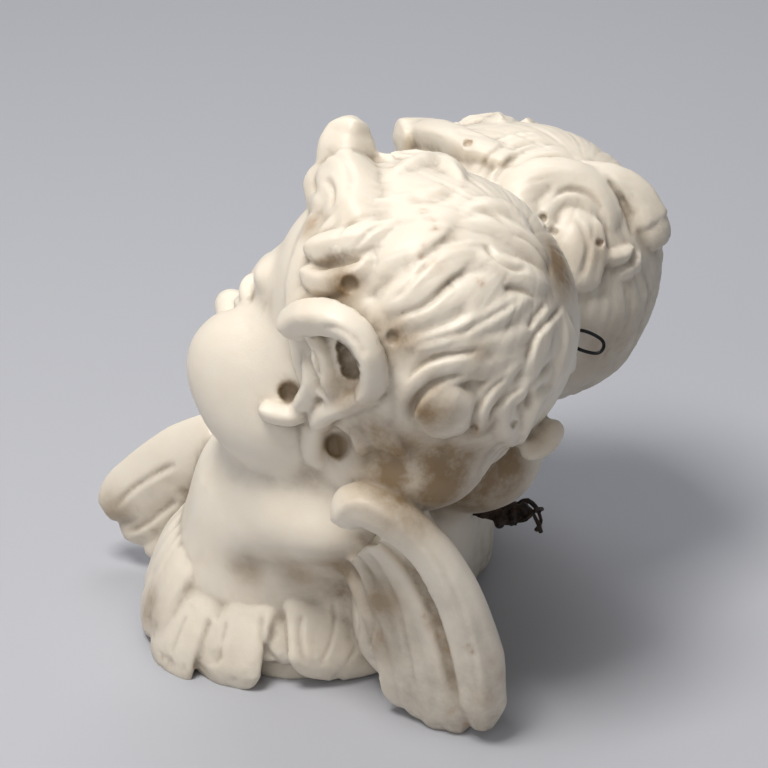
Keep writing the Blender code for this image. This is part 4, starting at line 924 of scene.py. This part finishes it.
def crampMesh():
    # The end of the bar, the turns of wire bound round it and the wires' twisted ends.
    clay = Clay()
    clay.add(*bar(crampPlan["start"], crampPlan["end"], crampPlan["bar"]))
    start, end = np.array(crampPlan["start"], float), np.array(crampPlan["end"], float)
    along = unit(end - start)
    side = unit(np.cross(along, (0, 0, 1)))
    up = np.cross(side, along)
    stops = crampPlan["turns"] * 8
    wide, high = (size / 2 + 0.9 for size in crampPlan["bar"])
    run = []
    for i in range(stops + 1):
        angle = 2 * math.pi * i / 8
        at = end - along * (7.5 - 5.5 * i / stops)
        run.append(at + side * math.cos(angle) * wide + up * math.sin(angle) * high)
    addWire(clay, run, crampPlan["wire"], 120)
    tails = [
        [(-2, 3, -2), (3, 5, 2), (6, 2, 6), (9, -3, 4), (7, -7, 0)],
        [(-4, -3, 1), (1, -5, 5), (6, -6, 3), (10, -2, -1), (9, 3, -4)],
        [(-3, 1, 3), (3, 1, 5), (8, 3, 1), (11, 5, -3)],
    ]
    for tail in tails:
        addWire(clay, [end + along * a + side * b + up * c for a, b, c in tail], crampPlan["wire"], 50)
    for a, b, c, radius in crampPlan["lumps"]:
        clay.addBall(end + along * a + side * b + up * c, (radius, radius * 0.8, radius))
    return fused(clay.mesh("cramp"), crampPlan["voxel"], 1)


def wireHole(tree):
    # Where the wire goes in: the marble that is met on the way forwards from behind, between the heads.
    x, z = loopPlan["at"]
    hit, _, _, _ = tree.ray_cast(Vector((x, 300, z)), Vector((0, -1, 0)))
    return np.array(hit)


def loopMesh(hole):
    ahead = unit(loopPlan["ahead"])
    across = unit(np.cross(ahead, (0.9, 0, 0.3)))
    half = loopPlan["width"] / 2
    run = [(-0.4, 0.3), (-0.1, 0.4), (0.2, 0.7), (0.5, 1.0), (0.8, 0.9), (0.95, 0.6), (1, 0)]
    run = [(a * loopPlan["length"], b) for a, b in run]
    run = [hole + ahead * a + across * b * half for a, b in run] + [
        hole + ahead * a - across * b * half for a, b in reversed(run[:-1])
    ]
    clay = Clay()
    addWire(clay, run, loopPlan["wire"], 90, 18)
    return facingOut(clay.mesh("wire_loop"))


# Cutting, thinning and placing.


def facingOut(mesh):
    bm = bmesh.new()
    bm.from_mesh(mesh)
    bmesh.ops.recalc_face_normals(bm, faces=bm.faces)
    bm.to_mesh(mesh)
    bm.free()
    return mesh


def cutBy(mesh, *cutters):
    # The mesh less each cutter. A cutter is a closed mesh's points and faces.
    for points, faces in cutters:
        clay = Clay()
        clay.add(points, faces)
        obj = bpy.data.objects.new("cutter", facingOut(clay.mesh("cutter")))
        bpy.context.scene.collection.objects.link(obj)
        cut = {"operation": "DIFFERENCE", "solver": "MANIFOLD", "object": obj}
        mesh = throughModifiers(mesh, ("BOOLEAN", cut))
        bpy.data.objects.remove(obj)
    return mesh


def wallNormal():
    tilt = math.radians(wallBack["tilt"])
    return np.array([0, math.cos(tilt), -math.sin(tilt)])


def slab(normal, offset):
    # A thick block whose near face lies in the plane.
    normal = unit(normal)
    middle = np.array([-100, 0, 0]) - normal * (np.array([-100, 0, 0]) @ normal)
    return bar(middle + normal * offset, middle + normal * (offset + 80), (500, 500))


def thinned(mesh, triangles):
    mesh.calc_loop_triangles()
    share = triangles / len(mesh.loop_triangles)
    return throughModifiers(mesh, ("TRIANGULATE", {}), ("DECIMATE", {"ratio": min(1, share)}))


def largestBody(mesh):
    # Leaves only the body with the most faces, so that no crumb of the fusing stays behind.
    bm = bmesh.new()
    bm.from_mesh(mesh)
    bm.verts.ensure_lookup_table()
    left, bodies = set(bm.verts), []
    while left:
        body, edge = set(), [left.pop()]
        while edge:
            vert = edge.pop()
            body.add(vert)
            for e in vert.link_edges:
                other = e.other_vert(vert)
                if other in left:
                    left.discard(other)
                    edge.append(other)
        bodies.append(body)
    biggest = max(bodies, key=len)
    bmesh.ops.delete(bm, geom=[v for v in bm.verts if v not in biggest], context="VERTS")
    bm.to_mesh(mesh)
    bm.free()
    return mesh


def treeOf(mesh):
    return BVHTree.FromPolygons([v.co[:] for v in mesh.vertices],
                                [p.vertices[:] for p in mesh.polygons])


def softNoise(points, size, seed=0):
    # Smooth noise from -1 to 1 whose lumps are about this size.
    p = points / size + seed * 17.31
    cell = np.floor(p)
    part = p - cell
    part = part * part * (3 - 2 * part)
    total = np.zeros(len(p))
    for corner in range(8):
        step = np.array([corner & 1, corner >> 1 & 1, corner >> 2 & 1])
        value = np.sin((cell + step) @ np.array([127.1, 311.7, 74.7])) * 43758.5453
        share = np.prod(np.where(step, part, 1 - part), axis=1)
        total += (value - np.floor(value)) * share
    return total * 2 - 1


def roughness(points, size, octaves, seed=0):
    return sum(softNoise(points, size / 2 ** k, seed + k) / 2 ** k for k in range(octaves))


def shownOn(tree, x, y):
    eye, along = sight(x, y)
    hit, normal, _, _ = tree.ray_cast(Vector(eye), Vector(along))
    return None if hit is None else (np.array(hit), np.array(normal))


def bell(distance, width):
    return np.exp(-(distance / width) ** 2)


def cutGroove(points, move, tree, width, depth, lip, run):
    # Adds one stroke of the chisel to the moves of the points near it.
    spots = [shownOn(tree, x, y) for x, y in curveThrough(run, 14 * len(run))]
    spots = [s for s in spots if s is not None]
    path = np.array([s[0] for s in spots])
    out = unit(np.array([s[1] for s in spots]))
    padded = np.pad(path, ((3, 3), (0, 0)), "edge")
    path = np.stack([np.convolve(padded[:, k], np.ones(7) / 7, "valid") for k in range(3)], axis=1)
    tangents = unit(np.gradient(path, axis=0))
    side = unit(np.cross(out, tangents))
    reach = 4 * width
    near = np.flatnonzero(np.all((points > path.min(0) - reach) & (points < path.max(0) + reach),
                                 axis=1))
    for some in np.array_split(near, max(1, len(near) // 6000)):
        gap = points[some][:, None, :] - path[None, :, :]
        closest = np.argmin((gap * gap).sum(axis=2), axis=1)
        gap = gap[np.arange(len(some)), closest]
        across = (gap * side[closest]).sum(axis=1)
        along = (gap * tangents[closest]).sum(axis=1)
        above = (gap * out[closest]).sum(axis=1)
        s = closest / (len(path) - 1)
        fade = np.clip(np.minimum(s, 1 - s) / 0.22, 0, 1)
        fade = fade * fade * (3 - 2 * fade) * bell(along, width) * bell(above, 2.5 * width + 2)
        move[some] -= depth * fade * bell(across, width)
        move[some] += abs(lip) * fade * bell(across - math.copysign(1.7 * width, lip), 1.2 * width)


def drillInto(points, tree, x, y, radius, depth):
    found = shownOn(tree, x, y)
    if found is None:
        return
    _, along = sight(x, y)
    gap = points - found[0]
    forward = gap @ along
    away = np.linalg.norm(gap - forward[:, None] * along, axis=1)
    inside = (away < radius * 1.35) & (np.abs(forward) < depth + radius)
    share = np.clip((1.35 - away[inside] / radius) / 0.6, 0, 1)
    floor = depth * share * share * (3 - 2 * share)
    points[inside] += along * np.maximum(floor - np.maximum(forward[inside], 0), 0)[:, None]


def faceRelief(local, outward):
    # How far the points of a face rise or sink: lids, lips, nostrils. The face looks along -Y.
    x, y, z = local.T
    side = np.abs(x)
    front = np.clip((-35 - y) / 15, 0, 1) * np.clip(0.25 - outward[:, 1], 0, 1)
    across = (side - face["eyeAcross"]) / face["eyeHalf"]
    arch = np.clip(1 - across ** 2, 0, 1)
    upper = z - (face["eyeHeight"] + face["upperLid"] * arch)
    lower = (face["eyeHeight"] - face["lowerLid"] * arch) - z
    window = np.clip(1.25 - np.abs(across), 0, 1) / 1.25
    window = np.clip(window * 3, 0, 1)
    opening = np.clip(-upper / 1.2, 0, 1) * np.clip(-lower / 1.2, 0, 1) * (np.abs(across) < 1)
    rise = -face["lidThickness"] * opening
    rise += window * (face["lidThickness"] * 0.8 * bell(upper - 1.5, 1.5) - 1.1 * bell(upper - 4.6,
                                                                                       1.2))
    rise += window * (0.7 * bell(lower - 1.3, 1.3) - 0.5 * bell(lower - 4.2, 1.8))
    # the mouth
    line = face["mouthHeight"] + 1.3 * (x / 13) ** 2 - 1.0 * bell(side, 2.2) + 0.7 * bell(side - 4, 2.4)
    over = z - line
    wide = np.clip(1 - (side / face["mouthHalf"]) ** 2, 0, 1)
    rise += -2.0 * bell(over, 1.0) * np.sqrt(wide)
    full = np.clip(1 - (side / 10) ** 2, 0, 1)
    rise += 1.5 * bell(over - 3.0, 2.2) * wide + 2.0 * bell(over + 3.6, 2.7) * full
    rise -= 1.3 * bell(side - face["mouthHalf"] - 0.5, 2.0) * bell(over - 0.6, 2.0)
    rise -= 1.1 * bell(over + 8.6, 2.6) * bell(side, 9)
    rise -= 0.8 * bell(side, 1.8) * bell(over - 8.5, 3.5)
    # the nostrils and the wings of the nose
    rise -= 2.4 * bell(side - 4.4, 1.9) * bell(y + 77.5, 3.0) * bell(z + 34, 3.2)
    rise -= 1.0 * bell(side - 11.5, 1.6) * bell(z + 29, 4.5) * bell(y + 70, 7)
    return rise * front


face = {
    "eyeAcross": 21.5, "eyeHeight": -5, "eyeHalf": 12, "upperLid": 5.2, "lowerLid": 4.2,
    "lidThickness": 1.4,
    "mouthHeight": -48.5, "mouthHalf": 13.5,
}


def rakedHair(local, whorl):
    # Strands combed from the whorl all over the cap of hair: how far each point sinks.
    axis = direction(*whorl)
    first = unit(np.cross(axis, (1.0, 0.2, 0)))
    second = np.cross(axis, first)
    d = unit(local)
    turned = np.arctan2(d @ second, d @ first)
    away = np.arccos(np.clip(d @ axis, -1, 1))
    broad = np.abs(np.sin(8 * turned + 0.9 * np.sin(2.6 * away) + 0.5 * np.sin(5.1 * away + 3 * turned)))
    fine = np.abs(np.sin(23 * turned + 1.6 * np.sin(2.9 * away + 1) + 0.8 * np.sin(7 * away + 5 * turned)))
    sunk = 1.1 * np.clip(1 - 2.2 * broad, 0, 1) + 0.5 * np.clip(1 - 1.8 * fine, 0, 1)
    return sunk * capHeight(local) / hairCap["height"] * np.clip(away / 0.4, 0, 1)


def neighbourPairs(mesh):
    pairs = np.empty(len(mesh.edges) * 2, np.int32)
    mesh.edges.foreach_get("vertices", pairs)
    return pairs.reshape(-1, 2)


def evened(values, pairs, rounds):
    # Each value drawn half way to the mean of its neighbours, round after round.
    a, b = pairs.T
    count = np.bincount(a, minlength=len(values)) + np.bincount(b, minlength=len(values))
    values = values.astype(float)
    columns = values.reshape(len(values), -1)
    for _ in range(rounds):
        total = np.stack([
            np.bincount(a, c[b], len(values)) + np.bincount(b, c[a], len(values)) for c in columns.T
        ], axis=1)
        columns = 0.5 * columns + 0.5 * total / np.maximum(count, 1)[:, None]
    return columns.reshape(values.shape)


# Wear and tooling, each as noise (size in millimetres, octaves, seed) and its depth or height.
surfaceWear = {
    "pits": ((9, 3, 5), 1.8), "unevenness": ((14, 2, 2), 0.22), "hewnBack": ((11, 2, 9), 0.9),
}


def carveDetails(mesh):
    points = pointsOf(mesh)
    normals = normalsOf(mesh)
    tree = treeOf(mesh)
    move = np.zeros(len(points))
    for groove in grooves:
        cutGroove(points, move, tree, *groove)
    hiddenness = 0.3 + 0.7 * np.clip(0.6 - 1.5 * (normals @ showDirection()), 0, 1)
    for head in (nearHead, farHead):
        back = headMatrix(head).inverted()
        local = moved(points, back)
        outward = unit(normals @ asArray(back)[:3, :3].T)
        close = np.linalg.norm(local, axis=1) < 110
        move[close] += faceRelief(local[close], outward[close])
        onHead = headDistance(local[close]) < 12
        move[close] -= hiddenness[close] * onHead * rakedHair(local[close], head["whorl"])
    # the worn tips of the wings and the skirt, and the hand's slight unevenness all over
    low = np.clip((34 - points[:, 2]) / 34, 0, 1)
    noise, depth = surfaceWear["pits"]
    move -= depth * np.clip(roughness(points, *noise) - 0.35, 0, 1) * (0.15 + low)
    noise, height = surfaceWear["unevenness"]
    move += height * roughness(points, *noise)
    # the rough-hewn back
    behind = np.clip((points @ wallNormal() - 14) / 18, 0, 1) * np.clip(normals @ wallNormal() * 2, 0,
                                                                        1)
    noise, height = surfaceWear["hewnBack"]
    move += behind * (height * roughness(points, *noise) - 0.5)
    points = points + normals * move[:, None]
    for hole in drillHoles:
        drillInto(points, tree, *hole)
    points[:, 2] = np.where(points[:, 2] < -3, -3, points[:, 2])
    setPoints(mesh, points)
    return mesh


def shadeOf(points, normals, tree, rays, reach):
    # The share of the sky that the marble round each point hides, within this reach.
    draw = np.random.default_rng(4)
    spread = unit(draw.normal(size=(rays, 3)))
    hidden = np.zeros(len(points))
    for i, (point, normal) in enumerate(zip(points, normals)):
        start = Vector(point + normal * 0.6)
        for ray in unit(spread + normal * 1.05):
            if tree.ray_cast(start, Vector(ray), reach)[0] is not None:
                hidden[i] += 1
    return hidden / rays


def storeMask(mesh, name, values):
    layer = mesh.attributes.new(name, "FLOAT", "POINT")
    layer.data.foreach_set("value", np.clip(values, 0, 1).astype(np.float32))


# Brown stains and painted shade on the show side: place and radius in show units, then strength.
stainsAndShade = [
    (400, 462, 50, 1.0), (380, 440, 34, 0.8), (440, 474, 52, 1.0), (500, 474, 46, 0.9),
    (430, 418, 34, 0.7),
    (345, 284, 20, 0.9), (310, 226, 16, 0.6), (402, 338, 24, 0.7), (350, 392, 26, 0.7),
    (470, 430, 26, 0.7),
    (560, 268, 34, 0.9), (600, 250, 24, 0.5), (610, 350, 44, 0.5), (112, 512, 26, 0.6),
    (150, 606, 24, 0.7),
    (470, 500, 44, 0.9), (338, 447, 16, 0.9), (540, 440, 22, 0.5), (412, 500, 40, 0.9),
    (290, 392, 12, 0.6),
    (345, 575, 34, 0.75), (378, 598, 34, 0.8), (300, 572, 30, 0.55), (250, 570, 26, 0.4),
    (470, 380, 22, 0.4),
    (436, 386, 16, 0.6), (480, 352, 14, 0.5), (330, 264, 14, 0.6), (376, 640, 26, 0.6),
    (200, 672, 14, 0.5),
]
# Grey weather on the wings and the skirt's edge: place and radius in show units, then strength.
weathering = [
    (368, 580, 44, 0.8), (392, 640, 50, 0.9), (414, 694, 44, 0.9), (446, 690, 50, 0.8),
    (486, 694, 50, 0.8),
    (440, 600, 34, 0.5), (478, 640, 36, 0.6), (500, 640, 24, 0.5), (128, 528, 34, 0.6),
    (160, 500, 30, 0.4),
    (280, 668, 34, 0.6), (340, 668, 34, 0.5), (220, 676, 30, 0.4),
]
# Rusty flecks and grey spots on the crown: place and radius in show units, strength.
flecks = [
    (424, 211, 4, 0.8), (428, 218, 4, 0.6), (435, 228, 4, 0.9), (433, 221, 3, 0.6), (423, 246, 3, 0.7),
    (421, 256, 3, 0.8),
    (424, 268, 3, 0.6), (437, 264, 9, 0.3), (469, 142, 5, 0.7), (463, 187, 3, 0.5), (482, 284, 4, 0.7),
    (478, 280, 3, 0.5),
    (312, 222, 7, 0.7), (308, 232, 6, 0.5), (598, 242, 3, 0.8), (556, 268, 4, 0.6), (430, 626, 7, 0.5),
    (424, 616, 3, 0.8),
    (438, 636, 5, 0.7), (448, 650, 4, 0.7), (472, 652, 3, 1.0), (468, 646, 3, 0.7), (500, 676, 6, 0.6),
    (452, 712, 6, 0.6),
    (468, 724, 7, 0.6), (492, 660, 9, 0.4), (486, 700, 10, 0.45), (380, 637, 4, 0.8),
    (343, 591, 3, 0.4), (378, 567, 3, 0.5),
]


def spotMask(points, tree, spots):
    mask = np.zeros(len(points))
    for x, y, radius, strength in spots:
        found = shownOn(tree, x, y)
        if found is not None:
            away = np.linalg.norm(points - found[0], axis=1)
            mask = np.maximum(mask, strength * bell(away, radius * 0.42))
    return mask


def storeMarbleMasks(mesh):
    points = pointsOf(mesh)
    normals = normalsOf(mesh)
    tree = treeOf(mesh)
    pairs = neighbourPairs(mesh)
    fine = ((evened(points, pairs, 8) - points) * normals).sum(axis=1)
    broad = ((evened(points, pairs, 60) - points) * normals).sum(axis=1)
    shade = shadeOf(points, normals, tree, marbleMaking["shadeRays"], marbleMaking["shadeReach"])
    shade = evened(shade, pairs, 3)
    hollow = 0.55 * np.clip(fine / 0.35, 0, 1) + 0.45 * np.clip(broad / 1.6, 0, 1)
    # Patina in the creases, and painted shade where the marble around hides the sky.
    storeMask(mesh, "hollow", evened(hollow, pairs, 1) * 0.8 + np.clip((shade - 0.5) / 0.5, 0, 1) * 0.5)
    storeMask(mesh, "shade", shade)
    # Painted shade with the stains: darker on the nape, under the breast and in the curls' hollows.
    storeMask(mesh, "stain_and_shade", spotMask(points, tree, stainsAndShade))
    storeMask(mesh, "fleck", spotMask(points, tree, flecks))
    low = np.clip((26 - points[:, 2]) / 40, 0, 1)
    behind = np.clip((points @ wallNormal() + 4) / 40, 0, 1)
    storeMask(mesh, "worn", np.maximum(low + 0.8 * behind, spotMask(points, tree, weathering)))


def carvedMarble():
    mesh = marbleMesh(marbleMaking["skinVoxel"], marbleMaking["carvingVoxel"])
    print("fused:", len(mesh.vertices), "points")
    mesh = carveDetails(mesh)
    print("details carved")
    mesh = largestBody(thinned(mesh, marbleMaking["triangles"]))
    print("thinned:", len(mesh.polygons), "triangles")
    return mesh


# Materials. What more than one finish uses is a node group.


def feed(tree, node, inputs):
    # Links the inputs that are given as sockets, and sets the others.
    for name, value in inputs.items():
        if isinstance(value, bpy.types.NodeSocket):
            tree.links.new(value, node.inputs[name])
        else:
            node.inputs[name].default_value = value


def addNode(tree, kind, inputs=None, **settings):
    node = tree.nodes.new(kind)
    for name, value in settings.items():
        setattr(node, name, value)
    feed(tree, node, inputs or {})
    return node


def mathNode(tree, operation, a, b=0.0, clamp=False):
    return addNode(tree, "ShaderNodeMath", {0: a, 1: b}, operation=operation,
                   use_clamp=clamp).outputs[0]


def mixedColour(tree, mask, a, b):
    return addNode(tree, "ShaderNodeMix", {0: mask, 6: a, 7: b}, data_type="RGBA").outputs[2]


def ranged(tree, value, low, high, newLow=0.0, newHigh=1.0):
    return addNode(tree, "ShaderNodeMapRange", {
        "Value": value, "From Min": low, "From Max": high, "To Min": newLow, "To Max": newHigh,
    }).outputs[0]


def newGroup(name, values, result):
    # A group with a vector and values as its inputs and one value as its output.
    tree = bpy.data.node_groups.new(name, "ShaderNodeTree")
    tree.interface.new_socket("Vector", in_out="INPUT", socket_type="NodeSocketVector")
    for label, value in values.items():
        socket = tree.interface.new_socket(label, in_out="INPUT", socket_type="NodeSocketFloat")
        socket.default_value = value
    tree.interface.new_socket(result, in_out="OUTPUT", socket_type="NodeSocketFloat")
    return tree, tree.nodes.new("NodeGroupInput"), tree.nodes.new("NodeGroupOutput")


def noiseNode(tree, vector, scale, detail=4.0, rough=0.55):
    return addNode(tree, "ShaderNodeTexNoise", {
        "Vector": vector, "Scale": scale, "Detail": detail, "Roughness": rough,
    }).outputs["Fac"]


def cloudGroup():
    # Slow changes of tone over a surface.
    tree, given, made = newGroup("cloudyTone", {"Scale": 12.0, "Contrast": 1.0}, "Tone")
    noise = noiseNode(tree, given.outputs["Vector"], given.outputs["Scale"])
    spread = mathNode(tree, "MULTIPLY", mathNode(tree, "SUBTRACT", noise, 0.5),
                      given.outputs["Contrast"])
    tone = mathNode(tree, "ADD", mathNode(tree, "MULTIPLY", spread, 2.2), 0.5, True)
    feed(tree, made, {"Tone": tone})
    return tree


def grimeAndShadeGroup():
    # A mask of dirt, rust or painted shade, broken up by noise.
    values = {"Hollow": 0.0, "Amount": 1.0, "Scale": 60.0}
    tree, given, made = newGroup("settledGrimeAndShade", values, "Mask")
    noise = noiseNode(tree, given.outputs["Vector"], given.outputs["Scale"], 5.0, 0.65)
    patchy = ranged(tree, noise, 0.3, 0.68, 0.45, 1.3)
    held = mathNode(tree, "POWER", given.outputs["Hollow"], 1.15)
    mask = mathNode(tree, "MULTIPLY", held, patchy)
    feed(tree, made, {"Mask": mathNode(tree, "MULTIPLY", mask, given.outputs["Amount"], True)})
    return tree


def grainGroup():
    # The height of a fine grain over a coarser unevenness.
    values = {"Grain": 1800.0, "Waves": 160.0, "Wave Share": 0.5}
    tree, given, made = newGroup("surfaceGrain", values, "Height")
    fine = noiseNode(tree, given.outputs["Vector"], given.outputs["Grain"], 2.0, 0.6)
    coarse = noiseNode(tree, given.outputs["Vector"], given.outputs["Waves"], 3.0, 0.5)
    mix = {0: given.outputs["Wave Share"], 2: fine, 3: coarse}
    feed(tree, made, {"Height": addNode(tree, "ShaderNodeMix", mix, data_type="FLOAT").outputs[0]})
    return tree


groups = {"cloud": cloudGroup(), "grimeAndShade": grimeAndShadeGroup(), "grain": grainGroup()}


def useGroup(tree, name, **inputs):
    node = addNode(tree, "ShaderNodeGroup", node_tree=groups[name])
    feed(tree, node, {label.replace("_", " "): value for label, value in inputs.items()})
    return node.outputs[0]


def newMaterial(name):
    material = bpy.data.materials.new(name)
    material.use_nodes = True
    tree = material.node_tree
    where = addNode(tree, "ShaderNodeTexCoord").outputs["Object"]
    return material, tree, tree.nodes["Principled BSDF"], where


def maskOf(tree, name):
    return addNode(tree, "ShaderNodeAttribute", attribute_name=name).outputs["Fac"]


# The stain colour is dark enough to paint the nape's shade too; the patina colour paints shade in the deep
# hollows as well as patina.
marbleFinish = {
    "cream": (0.83, 0.775, 0.675, 1), "warm": (0.76, 0.665, 0.53, 1), "patina_and_shade": (0.25, 0.19, 0.125, 1),
    "stain_and_shade": (0.28, 0.19, 0.1, 1), "rust": (0.36, 0.19, 0.09, 1), "weathered": (0.40, 0.355, 0.29, 1),
    "roughness": (0.4, 0.62), "subsurface": 0.2, "scatter": 0.005, "bump": 0.25,
}
# What is painted on the marble, one over the other, painted shade among it: its mask, amount, scale of
# noise and colour.
marbleLayers = [
    ("stain_and_shade", 1.35, 46.0, "stain_and_shade"), ("worn", 0.7, 120.0, "weathered"), ("hollow", 0.95, 75.0, "patina_and_shade"),
    ("fleck", 0.8, 420.0, "rust"),
]


def marbleMaterial():
    f = marbleFinish
    material, tree, shader, where = newMaterial("warm_white_marble")
    tone = useGroup(tree, "cloud", Vector=where, Scale=11.0, Contrast=0.8)
    fineTone = useGroup(tree, "cloud", Vector=where, Scale=85.0, Contrast=0.6)
    blend = mathNode(tree, "MULTIPLY", mathNode(tree, "ADD", tone, fineTone), 0.42, True)
    colour = mixedColour(tree, blend, f["cream"], f["warm"])
    laid = {}
    for name, amount, scale, tint in marbleLayers:
        laid[name] = useGroup(tree, "grimeAndShade", Vector=where, Hollow=maskOf(tree, name), Amount=amount,
                              Scale=scale)
        colour = mixedColour(tree, laid[name], colour, f[tint])
    grain = useGroup(tree, "grain", Vector=where, Grain=1500.0, Waves=210.0, Wave_Share=0.45)
    bump = addNode(tree, "ShaderNodeBump", {"Strength": f["bump"], "Distance": 0.0006, "Height": grain})
    # Duller where the patina with its painted shade and the weather lie.
    dirtAndShade = mathNode(tree, "ADD", laid["hollow"], laid["worn"])
    dull = mathNode(tree, "ADD", dirtAndShade, mathNode(tree, "MULTIPLY", fineTone, 0.3))
    feed(tree, shader, {
        "Base Color": colour, "Roughness": ranged(tree, dull, 0.0, 1.2, *f["roughness"]),
        "Normal": bump.outputs[0], "Subsurface Weight": f["subsurface"],
        "Subsurface Radius": (1.0, 0.82, 0.6), "Subsurface Scale": f["scatter"],
    })
    return material


ironFinish = {"scale": (0.018, 0.017, 0.017, 1), "rust": (0.07, 0.035, 0.018, 1),
              "roughness": (0.35, 0.85)}


def ironMaterial():
    f = ironFinish
    material, tree, shader, where = newMaterial("corroded_dark_iron")
    tone = useGroup(tree, "cloud", Vector=where, Scale=260.0, Contrast=1.2)
    rust = useGroup(tree, "grimeAndShade", Vector=where, Hollow=tone, Amount=0.9, Scale=480.0)
    grain = useGroup(tree, "grain", Vector=where, Grain=2400.0, Waves=700.0, Wave_Share=0.6)
    bump = addNode(tree, "ShaderNodeBump", {"Strength": 0.8, "Distance": 0.0008, "Height": grain})
    feed(tree, shader, {
        "Base Color": mixedColour(tree, rust, f["scale"], f["rust"]),
        "Roughness": ranged(tree, rust, 0.0, 1.0, *f["roughness"]),
        "Metallic": ranged(tree, rust, 0.0, 0.7, 0.85, 0.15), "Normal": bump.outputs[0],
    })
    return material


wireFinish = {"steel": (0.06, 0.06, 0.065, 1), "dull": (0.02, 0.019, 0.018, 1), "roughness": (0.3, 0.6)}


def wireMaterial():
    f = wireFinish
    material, tree, shader, where = newMaterial("dark_dull_wire")
    tone = useGroup(tree, "cloud", Vector=where, Scale=340.0, Contrast=1.0)
    grain = useGroup(tree, "grain", Vector=where, Grain=3200.0, Waves=900.0, Wave_Share=0.5)
    bump = addNode(tree, "ShaderNodeBump", {"Strength": 0.3, "Distance": 0.0003, "Height": grain})
    feed(tree, shader, {
        "Base Color": mixedColour(tree, tone, f["steel"], f["dull"]), "Metallic": 0.9,
        "Roughness": ranged(tree, tone, 0.0, 1.0, *f["roughness"]), "Normal": bump.outputs[0],
    })
    return material


def place(name, mesh, material, node):
    mesh.transform(Matrix.Scale(metresPerMm, 4) @ Matrix.Translation(layoutShift))
    mesh.materials.clear()
    mesh.materials.append(material)
    mesh.shade_smooth()
    obj = bpy.data.objects.new(name, mesh)
    bpy.context.scene.collection.objects.link(obj)
    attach(obj, "root")
    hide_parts(node)


def corroded(mesh):
    points = pointsOf(mesh)
    move = 0.35 * roughness(points, 3.2, 3, 7) - 0.1
    setPoints(mesh, points + normalsOf(mesh) * move[:, None])
    return mesh


def buildPieces():
    marble = carvedMarble()
    hole = wireHole(treeOf(marble))
    ahead = unit(loopPlan["ahead"]) * loopPlan["holeDepth"]
    drill = Clay()
    addWire(drill, [hole - ahead, hole - ahead * 0.5, hole, hole + ahead], loopPlan["hole"], 6, 24)
    barStart, barEnd = (np.array(crampPlan[k], float) for k in ("start", "end"))
    outwards = unit(barEnd - barStart)
    room = [size + 2 * crampPlan["pocketRoom"] for size in crampPlan["bar"]]
    pocket = bar(barEnd - outwards * crampPlan["pocketDepth"], barEnd + outwards * 20, room)
    socket = bar(barStart, barEnd, crampPlan["bar"], crampPlan["clearance"], 4)
    marble = cutBy(marble, slab((0, 0, -1), 0), slab(wallNormal(), wallBack["offset"]), socket, pocket,
                   (np.concatenate(drill.points), drill.faces))
    marble = largestBody(marble)
    storeMarbleMasks(marble)
    print("marble finished:", len(marble.polygons), "faces")
    place("carved_marble", marble, marbleMaterial(), "marble_group")
    cramp = largestBody(thinned(corroded(crampMesh()), crampPlan["triangles"]))
    place("corroded_cramp", cramp, ironMaterial(), "iron_cramp")
    place("hanging_loop", loopMesh(hole), wireMaterial(), "wire_loop")
    print("iron and wire finished")


# The stage, the lights and the camera.

stagePlan = {"size": 8, "colour": (0.46, 0.47, 0.505, 1), "cloud": (0.4, 0.41, 0.44, 1),
             "roughness": 0.75}
lightPlan = {
    # name: place from the target, size, power, colour
    "key": ((0.26, -0.42, 1.4), 0.55, 19, (1.0, 0.97, 0.935)),
    "fill": ((1.2, -0.55, 0.62), 1.1, 4.0, (1.0, 0.965, 0.92)),
    "back": ((-0.9, 0.1, 1.3), 0.9, 7, (0.96, 0.97, 1.0)),
}
skyPlan = {"Color": (0.7, 0.71, 0.74, 1), "Strength": 0.31}


def aim(obj, at, target):
    obj.location = at
    obj.rotation_euler = (target - at).to_track_quat("-Z", "Y").to_euler()


def buildStage():
    bm = bmesh.new()
    bmesh.ops.create_grid(bm, x_segments=1, y_segments=1, size=stagePlan["size"] / 2)
    mesh = bpy.data.meshes.new("floor")
    bm.to_mesh(mesh)
    bm.free()
    material, tree, shader, where = newMaterial("pale_floor")
    tone = useGroup(tree, "cloud", Vector=where, Scale=400.0, Contrast=0.5)
    share = mathNode(tree, "MULTIPLY", tone, 0.12)
    feed(tree, shader, {
        "Base Color": mixedColour(tree, share, stagePlan["colour"], stagePlan["cloud"]),
        "Roughness": stagePlan["roughness"],
    })
    mesh.materials.append(material)
    floor = bpy.data.objects.new("floor", mesh)
    bpy.context.scene.collection.objects.link(floor)


def buildLightsAndCamera():
    scene = bpy.context.scene
    target = (Vector(showView["target"]) + Vector(layoutShift)) * metresPerMm
    for name, (at, size, power, colour) in lightPlan.items():
        light = bpy.data.objects.new(name, bpy.data.lights.new(name, "AREA"))
        light.data.size, light.data.energy, light.data.color = size, power, colour
        aim(light, target + Vector(at), target)
        scene.collection.objects.link(light)
    world = bpy.data.worlds.new("studio")
    world.use_nodes = True
    feed(world.node_tree, world.node_tree.nodes["Background"], skyPlan)
    scene.world = world
    camera = bpy.data.objects.new("camera", bpy.data.cameras.new("camera"))
    camera.data.sensor_width = 36
    camera.data.lens = 36 * showView["units"] / (2 * showView["middle"])
    aim(camera, target + Vector(showDirection()) * showView["distance"] * metresPerMm, target)
    scene.collection.objects.link(camera)
    scene.camera = camera
    scene.view_settings.view_transform = "Standard"
    scene.view_settings.look = "None"


buildPieces()
buildStage()
buildLightsAndCamera()
bpy.context.view_layer.update()
print("scene ready")
